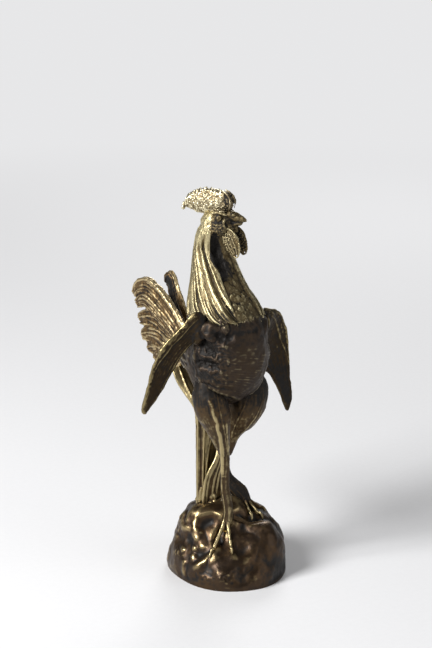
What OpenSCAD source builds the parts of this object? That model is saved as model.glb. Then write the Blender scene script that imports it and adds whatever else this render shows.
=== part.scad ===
// Rooster statuette, sand cast in bronze as separate pieces.
// The castings are tenoned and pinned together, and the figure is bolted to a hollow rock base.
// Z is up, the chest faces -Y, the bird's left is +X, and the origin is the centre of the underside.

/* [Base] */
// Width of the rock base, side to side
base_w = 59; // [50:1:70]
// Depth of the rock base, front to back
base_d = 66; // [58:1:76]
// Height of the rock base at its crown
base_h = 36; // [31:0.5:42]
// Wall of the hollow base casting
base_wall = 4; // [3:0.25:5]

/* [Body] */
// Clear height from the crown of the rock to the belly
leg_clear = 53; // [47:0.5:60]
// Height of the torso casting, belly to shoulders
body_h = 46; // [42:0.5:52]
// Width of the torso
body_w = 40; // [36:0.5:46]
// Depth of the torso at the chest
body_d = 43; // [38:0.5:48]
// Length of the rump behind the middle of the torso
rump_l = 31; // [27:0.5:36]
// Wall of the hollow torso casting
body_wall = 3.2; // [2.4:0.2:4]
// Length of one breast feather
breast_feather_l = 9; // [7:0.25:11]

/* [Neck and head] */
// Length of the neck, shoulders to the middle of the head
neck_l = 45.5; // [41:0.5:51]
// Width of the hackle cape at the shoulders
cape_w = 37; // [33:0.5:41]
// Depth of one groove between two hackle strands
hackle_groove = 1.8; // [0.8:0.1:2.4]
// Length of the skull, nape to beak root
head_l = 19; // [16:0.5:22]
// Turn of the head to the bird's left, in degrees
head_turn = 27; // [10:1:40]
// Length of the beak in front of the skull
beak_l = 8.5; // [7:0.25:11]

/* [Comb and wattles] */
// Length of the comb
comb_l = 27; // [23:0.5:31]
// Height of the comb
comb_h = 12.5; // [10:0.5:15]
// Thickness of the comb
comb_t = 8; // [6.5:0.25:9.5]
// Length of each wattle
wattle_l = 14; // [11:0.5:17]
// Width of each wattle
wattle_w = 9.5; // [7.5:0.25:11]

/* [Wings] */
// Sideways reach of each wing beyond the shoulder
wing_reach = 27; // [23:0.5:31]
// Drop of the right wing, shoulder to tip
right_wing_drop = 47; // [42:0.5:52]
// Drop of the left wing, shoulder to tip
left_wing_drop = 60; // [54:0.5:66]
// Thickness of a wing casting
wing_t = 3; // [2.4:0.2:4]

/* [Tail] */
// Length of the tail fan behind the rump
tail_l = 48; // [42:0.5:54]
// Height of the tail fan at its back edge
tail_h = 47; // [41:0.5:53]
// Thickness of a tail feather
feather_t = 2.6; // [2.2:0.1:3.4]
// Width of a tail feather
feather_w = 10; // [8.5:0.25:12]
// Width of a drooping plume where it leaves the rump
plume_w = 7; // [6:0.25:8.5]

/* [Legs] */
// Width of a thigh below the hip
thigh_w = 20; // [17:0.5:23]
// Width of a shank
shank_w = 4.6; // [4:0.1:5.4]
// Length of the longest toe
toe_l = 17; // [14:0.5:20]
// Width of a toe
toe_w = 3; // [2.6:0.1:3.6]

/* [Fixings] */
// Diameter of the studs under the feet and the plumes
stud_d = 2.5; // [2.1:0.1:2.9]
// Length of a stud
stud_l = 15; // [13.5:0.25:16.5]
// Width of a nut across its flats
nut_w = 5; // [4.5:0.25:6]
// Thickness of a nut
nut_t = 2; // [1.6:0.1:2.4]
// Diameter of a washer
washer_d = 7; // [6.5:0.25:8]
// Thickness of a washer
washer_t = 0.8; // [0.6:0.1:1.2]
// Diameter of the tenons on wings, legs and tail
tenon_d = 6; // [5:0.25:7]
// Diameter of the pins that lock the tenons
pin_d = 1.8; // [1.4:0.1:2.2]
// Diameter of the sleeve under the neck
sleeve_d = 18; // [15:0.5:20]

/* [Hidden] */

// Gap left where one casting is fitted to another
seam = 0.1;
// Gap between a pin, stud or tenon and its hole
fit_gap = 0.05;
// How far a cut runs past the surface that it opens
overrun = 1;
// Sides of a large cast form, of a slim one, of a small lump and of a drilled hole
big_sides = 28;
slim_sides = 9;
lump_sides = 6;
hole_sides = 16;

// Heights that the rest of the figure hangs from
belly_z = base_h + leg_clear;
shoulder_z = belly_z + body_h;
head_z = shoulder_z + neck_l;

bronze_dark = [0.25, 0.18, 0.10];
bronze_mid = [0.36, 0.27, 0.15];
bronze_light = [0.55, 0.45, 0.27];
brass_worn = [0.62, 0.50, 0.28];
steel_grey = [0.50, 0.50, 0.50];

function unit(v) = v / norm(v);
function polar(length, angle) = [length * cos(angle), length * sin(angle)];

// Catmull-Rom curve through pts; t runs from 0 to 1 over the whole list.
function curve_point(pts, t) =
    let (last = len(pts) - 1,
         s = min(t, 1) * last,
         i = min(floor(s), last - 1),
         f = s - i,
         p0 = pts[max(i - 1, 0)],
         p1 = pts[i],
         p2 = pts[i + 1],
         p3 = pts[min(i + 2, last)])
    (2 * p1 + (p2 - p0) * f + (2 * p0 - 5 * p1 + 4 * p2 - p3) * f * f
        + (3 * p1 - p0 - 3 * p2 + p3) * f * f * f) / 2;

function smooth(pts, count) = [for (i = [0 : count]) curve_point(pts, i / count)];

function tangent(path, i) =
    unit(path[min(i + 1, len(path) - 1)] - path[max(i - 1, 0)]);

// Closed skin over a stack of rings that all have the same number of points.
module skin(rings) {
    n = len(rings[0]);
    m = len(rings);
    first = [for (axis = [0 : 2]) [for (p = rings[0]) p[axis]] * [for (p = rings[0]) 1 / n]];
    last = [for (axis = [0 : 2]) [for (p = rings[m - 1]) p[axis]] * [for (p = rings[0]) 1 / n]];
    walls = [for (i = [0 : m - 2], j = [0 : n - 1])
        let (a = i * n + j, b = i * n + (j + 1) % n)
        each [[a, a + n, b + n], [a, b + n, b]]];
    caps = [for (j = [0 : n - 1])
        let (k = (j + 1) % n, top = (m - 1) * n)
        each [[j, k, m * n], [top + k, top + j, m * n + 1]]];
    polyhedron(
        points = concat([for (ring = rings) each ring], [first, last]),
        faces = concat(walls, caps),
        convexity = 8);
}

// One ring of a stack; a row is [z, middle x, middle y, half width, half depth].
function ring_point(row, a, r) =
    [row[1] + (row[3] + r) * cos(a), row[2] + (row[4] + r) * sin(a), row[0]];

// Upright stack of ellipses; ripple(a, t) is added to the radius at angle a and share t of the way up.
module stack(rows, grow = 0, sides = big_sides, ripple = function(a, t) 0) {
    skin([for (i = [0 : len(rows) - 1])
        [for (j = [0 : sides - 1])
            let (a = 360 * j / sides)
            ring_point(rows[i], a, grow + ripple(a, i / (len(rows) - 1)))]]);
}

// Rounded bar along a path; wide and thick hold the full sizes at each point of the path.
module bar(path, wide, thick, flat = [0, 0, 1], sides = slim_sides, grow = 0) {
    skin([for (i = [0 : len(path) - 1])
        let (along = tangent(path, i),
             across = unit(cross(flat, along)),
             up = cross(along, across))
        [for (j = [0 : sides - 1])
            let (a = 360 * j / sides)
            path[i] + across * (wide[i] / 2 + grow) * cos(a) + up * (thick[i] / 2 + grow) * sin(a)]]);
}

module lump(at, size, sides = lump_sides) {
    translate(at) scale(size) sphere(d = 1, $fn = sides);
}

module ball(at, d, sides = lump_sides) {
    translate(at) sphere(d = d, $fn = sides);
}

// Bar of hulled balls, for short tapering pieces such as toes, claws and the beak.
module tapered(path, sizes) {
    for (i = [0 : len(path) - 2])
        hull() {
            ball(path[i], sizes[i]);
            ball(path[i + 1], sizes[i + 1]);
        }
}

// Cylinder from a to b.
module rod(a, b, d, sides = hole_sides) {
    v = b - a;
    translate(a)
        rotate([0, acos(v[2] / norm(v)), atan2(v[1], v[0])])
            cylinder(d = d, h = norm(v), $fn = sides);
}

// Small pointed feather lying on a surface: out points away from the surface, down towards its tip.
module small_feather(at, out, down, size) {
    side = unit(cross(down, out)) * size * feather_side_share;
    proud = out * size * feather_proud_share;
    root_d = size * feather_root_share;
    hull() {
        ball(at - down * root_d - proud, root_d, feather_sides);
        ball(at + side - proud / 2, root_d, feather_sides);
        ball(at - side - proud / 2, root_d, feather_sides);
        ball(at + down * size / 2 + proud / 2, size * feather_tip_share, feather_sides);
    }
}
feather_sides = 4;
feather_proud_share = 0.09;
feather_root_share = 0.16;
feather_side_share = 0.30;
feather_tip_share = 0.13;

// Rock base

// Rows of [height, middle x, middle y, half width, half depth].
rock_shares = [
    [0, 0, 0, 1, 1],
    [0.14, 0, 0, 1, 1],
    [0.36, 0.06, 0.06, 0.965, 0.93],
    [0.56, 0.11, 0.17, 0.91, 0.80],
    [0.78, 0.10, 0.24, 0.77, 0.66],
    [0.92, -0.03, 0.22, 0.59, 0.50],
    [1, -0.05, 0.16, 0.38, 0.30]];
rock_steps = 11;
rock_ripple_share = 0.012;
boulder_sides = 11;

function rock_row(t, lift = 0) =
    let (s = curve_point(rock_shares, t))
    [s[0] * (base_h + lift), s[1] * base_w / 2, s[2] * base_d / 2, s[3] * base_w / 2, s[4] * base_d / 2];

function rock_ripple(a, t) =
    base_w * rock_ripple_share * (cos(3 * a + 220 * t) + cos(5 * a - 330 * t + 60) / 2 - t);

function outside_rock(p, t) =
    let (row = rock_row(t),
         v = [p[0] - row[1], p[1] - row[2]],
         r = rock_ripple(atan2(v[1] / row[4], v[0] / row[3]), t))
    norm([v[0] / (row[3] + r), v[1] / (row[4] + r)]) > 1;

// Height of the rock's surface over the point p, found by halving.
function rock_top(p, low = 0, high = 1, halvings = 12) =
    halvings == 0 ? rock_row(low)[0]
    : let (t = (low + high) / 2)
      outside_rock(p, t) ? rock_top(p, low, t, halvings - 1) : rock_top(p, t, high, halvings - 1);

// Boulders and knobs on the terrace: middle and size, as shares of the base's half sizes and height.
boulder_shares = [
    [[0.30, -0.46, 0.34], [1, 0.80, 0.86]],
    [[-0.56, -0.62, 0.16], [0.52, 0.46, 0.42]],
    [[-0.78, 0.12, 0.22], [0.34, 0.60, 0.52]],
    [[0.30, 0.76, 0.34], [0.90, 0.42, 0.66]],
    [[-0.62, 0.02, 0.62], [0.34, 0.36, 0.34]]];

// Raised folds of the rock: places as shares of the base's half sizes and height, and girth along the fold.
fold_shares = [
    [[-0.64, 0.45, 0.76], [-0.77, 0.13, 0.695], [-0.67, -0.26, 0.56]],
    [[-0.68, -0.42, 0.47], [-0.84, -0.36, 0.30], [-0.94, -0.20, 0.14]],
    [[-0.84, 0.04, 0.47], [-0.92, -0.01, 0.30], [-0.96, -0.07, 0.10]],
    [[-0.46, 0.28, 0.96], [-0.60, 0.17, 0.88], [-0.74, 0.13, 0.73]],
    [[0.84, -0.20, 0.62], [0.89, -0.32, 0.42], [0.86, -0.42, 0.22]],
    [[-0.57, 0.66, 0.60], [-0.60, 0.70, 0.38], [-0.57, 0.79, 0.16]]];
fold_width_shares = [0.02, 0.055, 0.055, 0.02];
fold_steps = 4;
fold_sides = 6;
// Hollows between them: middle, and girth as a share of the base's width
hollow_shares = [
    [[-0.80, 0.12, 0.56], 0.13], [[-0.555, -0.09, 0.80], 0.15], [[-0.83, 0.32, 0.48], 0.15],
    [[0.56, 0.24, 0.84], 0.20], [[-0.27, 0.67, 0.76], 0.20],
    [[0.92, 0.10, 0.44], 0.20]];
hollow_out_share = 0.6;
hollow_sides = 9;

function on_block(s) = [s[0] * base_w / 2, s[1] * base_d / 2, s[2] * base_h];

module rock_folds(grow = 0) {
    for (fold = fold_shares)
        let (girth = [for (k = [0 : fold_steps]) base_w * curve_point(fold_width_shares, k / fold_steps)])
        bar(smooth([for (s = fold) on_block(s)], fold_steps), girth, girth,
            flat = [0.5, -0.8, 0.3], sides = fold_sides, grow = grow);
}

module rock_hollows() {
    for (hollow = hollow_shares)
        let (at = on_block(hollow[0]), d = hollow[1] * base_w)
        ball(at + unit(at - on_block([0, 0, 0.3])) * d / 2 * hollow_out_share, d, sides = hollow_sides);
}

function boulder(k) = [for (s = boulder_shares[k]) [s[0] * base_w / 2, s[1] * base_d / 2, s[2] * base_h]];

// Height of a boulder's surface over the point p, or zero beside the boulder.
function boulder_top(p, k) =
    let (b = boulder(k),
         v = [2 * (p[0] - b[0][0]) / b[1][0], 2 * (p[1] - b[0][1]) / b[1][1]],
         left = 1 - v * v)
    left > 0 ? b[0][2] + b[1][2] / 2 * sqrt(left) : 0;

function ground(p) = max(concat([rock_top(p)], [for (k = [0 : len(boulder_shares) - 1]) boulder_top(p, k)]));

module rock_form(grow = 0) {
    stack([for (i = [0 : rock_steps]) rock_row(i / rock_steps, grow)], grow,
        ripple = function(a, t) rock_ripple(a, t));
    for (k = [0 : len(boulder_shares) - 1])
        lump(boulder(k)[0], boulder(k)[1] + [2 * grow, 2 * grow, 2 * grow], sides = boulder_sides);
    rock_folds(grow);
}

// The studs stand under the right foot, the left foot and the foot of the plumes.
right_foot_share = [-0.22, -0.27];
left_foot_share = [0.34, 0];
plume_foot_share = [-0.27, 0.35];
stud_shares = [right_foot_share, left_foot_share, plume_foot_share];

// Thread that stands out of the nut, and how deep the flat spots lie under the rock's surface
thread_over = 1.2;
pad_drop = base_wall + 1.5 * washer_t;

function on_base(share) = [share[0] * base_w / 2, share[1] * base_d / 2];
function on_rock(share) = let (p = on_base(share)) [p[0], p[1], rock_top(p)];
function pad(share) = on_rock(share) - [0, 0, pad_drop];

module stud_at(share, grow = 0) {
    foot = pad(share) - [0, 0, washer_t + nut_t + thread_over];
    rod(foot - [0, 0, grow], foot + [0, 0, stud_l + grow], stud_d + 2 * grow);
}

module rock_base() {
    inner = [for (i = [0 : rock_steps]) rock_row(i / rock_steps, -base_wall)];
    mouth = [concat([-overrun], [for (k = [1 : 4]) inner[0][k]])];
    color(bronze_dark) difference() {
        rock_form();
        difference() {
            stack(concat(mouth, inner), -base_wall);
            for (share = stud_shares)
                rod(pad(share), on_rock(share), washer_d + 2 * overrun);
        }
        rock_hollows();
        for (share = stud_shares) {
            stud_at(share, fit_gap);
            rod(pad(share) - [0, 0, stud_l], pad(share), washer_d + overrun);
        }
        translate([-base_w, -base_d, -base_h])
            cube([2 * base_w, 2 * base_d, base_h]);
    }
}

module studs() {
    color(steel_grey)
        for (share = stud_shares)
            stud_at(share);
}

module washers() {
    color(brass_worn)
        for (share = stud_shares)
            translate(pad(share) - [0, 0, washer_t + fit_gap])
                difference() {
                    cylinder(d = washer_d, h = washer_t, $fn = hole_sides);
                    translate([0, 0, -overrun])
                        cylinder(d = stud_d + 4 * fit_gap, h = washer_t + 2 * overrun, $fn = hole_sides);
                }
}

module nuts() {
    color(brass_worn)
        for (share = stud_shares)
            translate(pad(share) - [0, 0, washer_t + nut_t + 2 * fit_gap])
                difference() {
                    cylinder(d = nut_w / cos(30), h = nut_t, $fn = 6);
                    translate([0, 0, -overrun])
                        cylinder(d = stud_d + 2 * fit_gap, h = nut_t + 2 * overrun, $fn = hole_sides);
                }
}

// Torso

// Rows of [height, middle y, half width, half depth].
torso_shares = [
    [0, 0.16, 0.22, 0.24],
    [0.06, 0.14, 0.48, 0.50],
    [0.18, 0.10, 0.74, 0.78],
    [0.35, 0.04, 0.92, 0.95],
    [0.54, -0.01, 1, 1],
    [0.72, -0.02, 0.985, 0.985],
    [0.88, 0.02, 0.95, 0.95],
    [1, 0.09, 0.90, 0.91]];
torso_steps = 12;
// Top flange that carries the neck, and the rump's middle height and girth along its path
flange_t = 5;
rump_path_shares = [[0, 0.46], [0.35, 0.47], [0.72, 0.50], [1, 0.54]];
rump_wide_shares = [0.88, 0.84, 0.66, 0.36];
rump_high_shares = [0.80, 0.72, 0.52, 0.30];

function torso_row(t, grow = 0, lowered = 0) =
    let (s = curve_point(torso_shares, t))
    [belly_z - grow + s[0] * (body_h + grow - lowered),
     0, s[1] * body_d / 2, s[2] * body_w / 2, s[3] * body_d / 2];

function torso_point(t, a, r = 0) = ring_point(torso_row(t), a, r);

module torso_form(grow = 0, lowered = 0) {
    stack([for (i = [0 : torso_steps]) torso_row(i / torso_steps, grow, lowered)], grow);
    bar([for (s = rump_path_shares) [0, s[0] * (rump_l + grow), belly_z + s[1] * body_h]],
        [for (s = rump_wide_shares) s * body_w],
        [for (s = rump_high_shares) s * body_h], sides = 2 * slim_sides, grow = grow);
}

// Breast feathers lie in staggered rows round the front.
breast_rows = 5;
breast_low_share = 0.44;
breast_high_share = 0.94;
breast_half_angle = 64;
breast_step_angle = 32;

module breast_feathers() {
    for (row = [0 : breast_rows - 1])
        let (t = breast_low_share + (breast_high_share - breast_low_share) * row / (breast_rows - 1))
        for (turn = [-breast_half_angle + breast_step_angle / 2 * (row % 2)
                     : breast_step_angle : breast_half_angle])
            let (a = -90 + turn)
            small_feather(torso_point(t, a), [cos(a), sin(a), 0], [0, 0, -1], breast_feather_l);
}

// Saddle feathers lie in rows over the rump.
saddle_rows = 2;
saddle_shares = [0.32, 0.60];
saddle_low_angle = -3.5;
saddle_high_angle = 201;
saddle_step_angle = 34;
saddle_share = 1.2;

module saddle_feathers() {
    for (row = [0 : saddle_rows - 1])
        let (s = saddle_shares[0] + (saddle_shares[1] - saddle_shares[0]) * row / (saddle_rows - 1),
             mid = curve_point(rump_path_shares, s),
             wide = curve_point([for (w = rump_wide_shares) [w]], s)[0] * body_w / 2,
             high = curve_point([for (h = rump_high_shares) [h]], s)[0] * body_h / 2)
        for (turn = [saddle_low_angle : saddle_step_angle : saddle_high_angle])
            let (a = turn - saddle_step_angle / 2 * (row % 2))
            small_feather([wide * cos(a), mid[0] * rump_l, belly_z + mid[1] * body_h + high * sin(a)],
                unit([cos(a) / wide, 0, sin(a) / high]), [0, 1, 0], breast_feather_l * saddle_share);
}

// Tenon places: a start inside the limb, a direction into the torso and the reach of the tenon.
tenon_l = tenon_d + body_wall + pin_d;
wing_tenon_drop = 10;
wing_tenon_y = -3;
hip_tenon_x = 9;
hip_tenon_y = -2;
hip_tenon_rise = 1.5;
tail_tenon_x = 6.2;
tail_tenon_z_share = 0.56;

function wing_tenon(side) =
    [[side * (body_w / 2 + seam + tenon_d / 3), wing_tenon_y, shoulder_z - wing_tenon_drop], [-side, 0, 0]];
function hip_tenon(side) =
    [[side * hip_tenon_x, hip_tenon_y, belly_z - hip_tenon_rise], [0, 0, 1]];
function tail_tenon(side) =
    [[side * tail_tenon_x, rump_l - tenon_d / 3, belly_z + tail_tenon_z_share * body_h], [0, -1, 0]];

module tenon(place, grow = 0) {
    rod(place[0], place[0] + place[1] * (tenon_l + grow), tenon_d + 2 * grow);
}

// Pin across the inner end of a tenon; across is the direction in which the pin lies.
module lock_pin(place, across, grow = 0) {
    middle = place[0] + place[1] * (tenon_l - pin_d);
    half = tenon_d / 2 + pin_d;
    rod(middle - across * (half + grow), middle + across * (half + grow), pin_d + 2 * grow);
}

// Sleeve under the neck and the two pins that cross its wall, one in front and one behind.
sleeve_l = 14;
sleeve_wall = 3;
sleeve_y = torso_shares[7][1] * body_d / 2;
neck_pin_z = shoulder_z - flange_t / 2;
neck_pin_l = 12;

module neck_sleeve(grow = 0) {
    translate([0, sleeve_y, shoulder_z - sleeve_l])
        cylinder(d = sleeve_d + 2 * grow, h = sleeve_l + seam + overrun, $fn = 2 * hole_sides);
}

module neck_pin(side, grow = 0) {
    inner = [0, sleeve_y + side * (sleeve_d - sleeve_wall) / 2, neck_pin_z];
    rod(inner - [0, side * grow, 0], inner + [0, side * (neck_pin_l + grow), 0], pin_d + 2 * grow);
}

plug_d = 7;
plug_t = 4;
plug_y = 3;

module core_plug() {
    color(bronze_mid)
        translate([0, plug_y, belly_z + seam + fit_gap])
            difference() {
                cylinder(d = plug_d, h = plug_t, $fn = hole_sides);
                translate([-plug_d, -fit_gap * 6, -plug_t + washer_t])
                    cube([2 * plug_d, fit_gap * 12, plug_t]);
            }
}

module torso() {
    color(bronze_mid) difference() {
        union() {
            torso_form();
            breast_feathers();
            saddle_feathers();
        }
        torso_form(-body_wall, flange_t);
        translate([-body_w, -body_d, shoulder_z])
            cube([2 * body_w, 4 * body_d, body_h]);
        neck_sleeve(fit_gap);
        translate([0, plug_y, belly_z - plug_t])
            cylinder(d = plug_d + 2 * fit_gap, h = 3 * plug_t, $fn = hole_sides);
        for (side = [-1, 1]) {
            neck_pin(side, fit_gap);
            tenon(wing_tenon(side), fit_gap);
            lock_pin(wing_tenon(side), [0, 0, 1], fit_gap);
            tenon(hip_tenon(side), fit_gap);
            lock_pin(hip_tenon(side), [0, 1, 0], fit_gap);
            tenon(tail_tenon(side), fit_gap);
            lock_pin(tail_tenon(side), [0, 0, 1], fit_gap);
            plume_tenon(side, fit_gap);
        }
    }
}

module neck_pins() {
    color(steel_grey)
        for (side = [-1, 1])
            neck_pin(side);
}

module wing_pins() {
    color(steel_grey)
        for (side = [-1, 1])
            lock_pin(wing_tenon(side), [0, 0, 1]);
}

module hip_pins() {
    color(steel_grey)
        for (side = [-1, 1])
            lock_pin(hip_tenon(side), [0, 1, 0]);
}

module tail_pins() {
    color(steel_grey)
        for (side = [-1, 1])
            lock_pin(tail_tenon(side), [0, 0, 1]);
}

// Neck and head

// Rows of [height, middle y, half width, half depth]; the last three are shares of half the cape.
neck_shares = [
    [0, 0.10, 1.03, 1.08],
    [0.12, 0.22, 0.95, 0.97],
    [0.35, 0.47, 0.73, 0.72],
    [0.68, 0.71, 0.51, 0.52],
    [0.86, 0.66, 0.45, 0.47],
    [1, 0.54, 0.34, 0.42]];
neck_steps = 15;
neck_sides = 72;
hackle_locks = 12;
hackle_phase = -130;
hackle_bend = 40;
hackle_bend_share = 0.75;
hackle_bend_gain = 1.6;
throat_drop_share = 0.45;
recess_drop_share = 1.2;
recess_high_share = 0.62;
recess_reach_share = 0.19;
recess_angle = 15;
recess_half_angle = 13;
// Angles of the front edges of the cape, each against the share of the way up
cape_left_shares = [[0, -49], [0.1, -46], [0.5, -26], [1, -32]];
cape_right_shares = [[0, 251], [0.29, 252], [0.47, 246], [0.64, 228], [0.96, 216]];
neck_hollow_d = 11;
neck_hollow_share = 0.42;

// Place round the cape: 0 at its left front edge, 1 at its right one
function cape_place(a, t) =
    (a - lookup(t, cape_left_shares)) / (lookup(t, cape_right_shares) - lookup(t, cape_left_shares));

// Lower down the locks turn towards the front edges.
function lock_bend(u, t) =
    hackle_bend * pow(1 - min(1, t / hackle_bend_share), 2)
        * max(-1, min(1, (2 * u - 1) * hackle_bend_gain));

// The cape is grooved between its locks; the throat lies lower, with a hollow beside the right edge.
function hackle_ripple(angle, t) =
    let (
        a = angle > 270 ? angle - 360 : angle,
        u = cape_place(a, t),
        bent = cape_place(a - lock_bend(u, t), t),
        wave = (1 - cos(360 * hackle_locks * bent + hackle_phase)) / 2,
        narrow = (1 + curve_point(neck_shares, t)[2]) / 2,
        beside = (angle - lookup(t, cape_right_shares) - recess_angle) / recess_half_angle,
        above = (t - recess_high_share) / recess_reach_share,
        hollow = recess_drop_share * exp(-beside * beside - above * above))
    -hackle_groove * narrow * (u > 0 && u < 1 ? wave : throat_drop_share + hollow);

function neck_row(t) =
    let (s = curve_point(neck_shares, t))
    [shoulder_z + seam + s[0] * (neck_l - seam), 0, s[1] * cape_w / 2, s[2] * cape_w / 2, s[3] * cape_w / 2];

module neck_form(grow = 0) {
    translate([0, 0, -grow])
        stack([for (i = [0 : neck_steps]) neck_row(i / neck_steps)], grow, sides = neck_sides,
            ripple = function(a, t) hackle_ripple(a, t));
}

throat_rows = 3;
throat_low_share = 0.14;
throat_high_share = 0.48;
throat_half_angle = 34;
throat_step_angle = 34;

module throat_feathers() {
    for (row = [0 : throat_rows - 1])
        let (t = throat_low_share + (throat_high_share - throat_low_share) * row / (throat_rows - 1))
        for (turn = [-throat_half_angle + throat_step_angle / 2 * (row % 2)
                     : throat_step_angle : throat_half_angle])
            let (a = -90 + turn)
            small_feather(ring_point(neck_row(t), a, 0), [cos(a), sin(a), 0], [0, 0, -1], breast_feather_l);
}

// Places on the head are [to the left, backwards, up] in shares of the skull's length.
head_y_share = 0.45;
skull_size_shares = [0.64, 1, 0.68];
brow_shares = [[0.24, -0.22, 0.20], [0.20, 0.42, 0.16]];
cheek_shares = [[0.22, -0.16, -0.12], [0.26, 0.44, 0.34]];
eye_shares = [[0.29, -0.20, 0.06], [0.13, 0.15, 0.15]];
lobe_shares = [[0.25, 0.10, -0.20], [0.16, 0.26, 0.34]];
beak_root_share = [0, -0.42, 0.22];
jaw_root_share = [0, -0.38, 0.02];
beak_size_shares = [0.32, 0.26, 0.09];
jaw_size_shares = [0.24, 0.17, 0.07];

module on_head() {
    translate([0, head_y_share * cape_w / 2, head_z])
        rotate([0, 0, head_turn])
            children();
}

module mirrored_lump(shares, grow) {
    for (side = [-1, 1])
        lump([side * shares[0][0], shares[0][1], shares[0][2]] * head_l,
            shares[1] * head_l + [2 * grow, 2 * grow, 2 * grow], sides = slim_sides);
}

module head_form(grow = 0) {
    more = [2 * grow, 2 * grow, 2 * grow];
    on_head() {
        lump([0, 0, 0], skull_size_shares * head_l + more, sides = 2 * slim_sides);
        mirrored_lump(brow_shares, grow);
        mirrored_lump(cheek_shares, grow);
        mirrored_lump(eye_shares, grow);
        mirrored_lump(lobe_shares, grow);
        root = beak_root_share * head_l;
        tapered([root, root + [0, -0.55 * beak_l, -0.12 * beak_l], root + [0, -beak_l, -0.20 * beak_l]],
            [for (s = beak_size_shares) s * head_l + 2 * grow]);
        jaw = jaw_root_share * head_l;
        tapered([jaw, jaw + [0, -0.45 * beak_l, 0.06 * beak_l], jaw + [0, -0.8 * beak_l, 0.10 * beak_l]],
            [for (s = jaw_size_shares) s * head_l + 2 * grow]);
    }
}

comb_peg_d = 3;
comb_peg_l = 5;

module comb_peg(grow = 0) {
    top = [0, comb_middle_share * comb_l, skull_size_shares[2] / 2 * head_l + comb_peg_d];
    on_head()
        rod(top - [0, 0, comb_peg_l + comb_peg_d + grow], top, comb_peg_d + 2 * grow);
}

module neck_and_head() {
    color(bronze_light) difference() {
        union() {
            neck_form();
            throat_feathers();
            head_form();
            neck_sleeve();
        }
        rod([0, sleeve_y, shoulder_z - sleeve_l - overrun], [0, sleeve_y, shoulder_z + body_wall],
            sleeve_d - 2 * sleeve_wall, sides = 2 * hole_sides);
        hull() {
            ball([0, sleeve_y, shoulder_z], neck_hollow_d, sides = slim_sides);
            ball([0, neck_shares[2][1] * cape_w / 2, shoulder_z + neck_hollow_share * neck_l],
                neck_hollow_d, sides = slim_sides);
        }
        difference() {
            translate([-cape_w, -cape_w, shoulder_z - sleeve_l])
                cube([2 * cape_w, 2 * cape_w, sleeve_l + seam]);
            neck_sleeve();
        }
        for (side = [-1, 1])
            neck_pin(side, fit_gap);
        comb_peg(fit_gap);
    }
}

// Comb: spikes of [place along the comb, height of the tip], from the back tip to the front.
comb_spike_shares = [
    [0, 0.30],
    [0.14, 0.68],
    [0.28, 0.88],
    [0.42, 0.96],
    [0.57, 1],
    [0.72, 0.98],
    [0.86, 0.90],
    [1, 0.70]];
comb_middle_share = 0.19;
comb_body_share = 0.38;
comb_tip_share = 0.34;

module comb() {
    foot_z = skull_size_shares[2] * 0.42 * head_l;
    module body_lump(k) {
        s = comb_spike_shares[k];
        high = s[1] * comb_h;
        thick = comb_t * (1 - abs(s[0] - 0.5) * 0.7);
        lump([0, (0.5 - s[0] + comb_middle_share) * comb_l, foot_z + high * comb_body_share],
            [thick, comb_l / 5, high * comb_body_share * 2], sides = slim_sides - 1);
    }
    color(bronze_light) {
        difference() {
            on_head() {
                for (k = [0 : len(comb_spike_shares) - 2])
                    hull() {
                        body_lump(k);
                        body_lump(k + 1);
                    }
                for (s = comb_spike_shares)
                    hull() {
                        lump([0, (0.5 - s[0] + comb_middle_share) * comb_l, foot_z + s[1] * comb_h / 2],
                            [comb_t / 2, comb_l / 6, comb_h / 4]);
                        lump([0, (0.5 - s[0] + comb_middle_share) * comb_l, foot_z + s[1] * comb_h],
                            [comb_t, comb_l / 3, comb_h / 2] * comb_tip_share);
                    }
            }
            head_form(seam);
            neck_form(seam);
        }
        comb_peg();
    }
}

// Wattles hang below the beak, one on each side; the near faces are dished.
wattle_place_share = [0.20, -0.52, -0.46];
wattle_t = 3;
wattle_dish_share = 0.62;

module wattle(side) {
    middle = [side * wattle_place_share[0], wattle_place_share[1], wattle_place_share[2]] * head_l;
    color(bronze_light) difference() {
        on_head()
            difference() {
                union() {
                    hull() {
                        lump(middle + [0, 0, wattle_l * 0.22], [wattle_t, wattle_w * 0.7, wattle_l * 0.5],
                            sides = slim_sides);
                        lump(middle - [0, 0, wattle_l * 0.18], [wattle_t, wattle_w, wattle_l * 0.62],
                            sides = slim_sides);
                    }
                    hull() {
                        ball(middle + [0, 0, wattle_l * 0.3], wattle_t, sides = slim_sides);
                        ball([0, middle[1] + wattle_w * 0.3, jaw_root_share[2] * head_l], wattle_t,
                            sides = slim_sides);
                    }
                }
                lump(middle + [side * wattle_t * 0.6, 0, -wattle_l * 0.05],
                    [wattle_t * 0.8, wattle_w, wattle_l] * wattle_dish_share, sides = slim_sides);
                translate([side > 0 ? -head_l : seam / 2, -2 * head_l, -2 * head_l])
                    cube([head_l - seam / 2, 3 * head_l, 3 * head_l]);
            }
        head_form(seam);
        neck_form(seam);
        throat_feathers();
    }
}

module right_wattle() {
    wattle(-1);
}

module left_wattle() {
    wattle(1);
}

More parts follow.
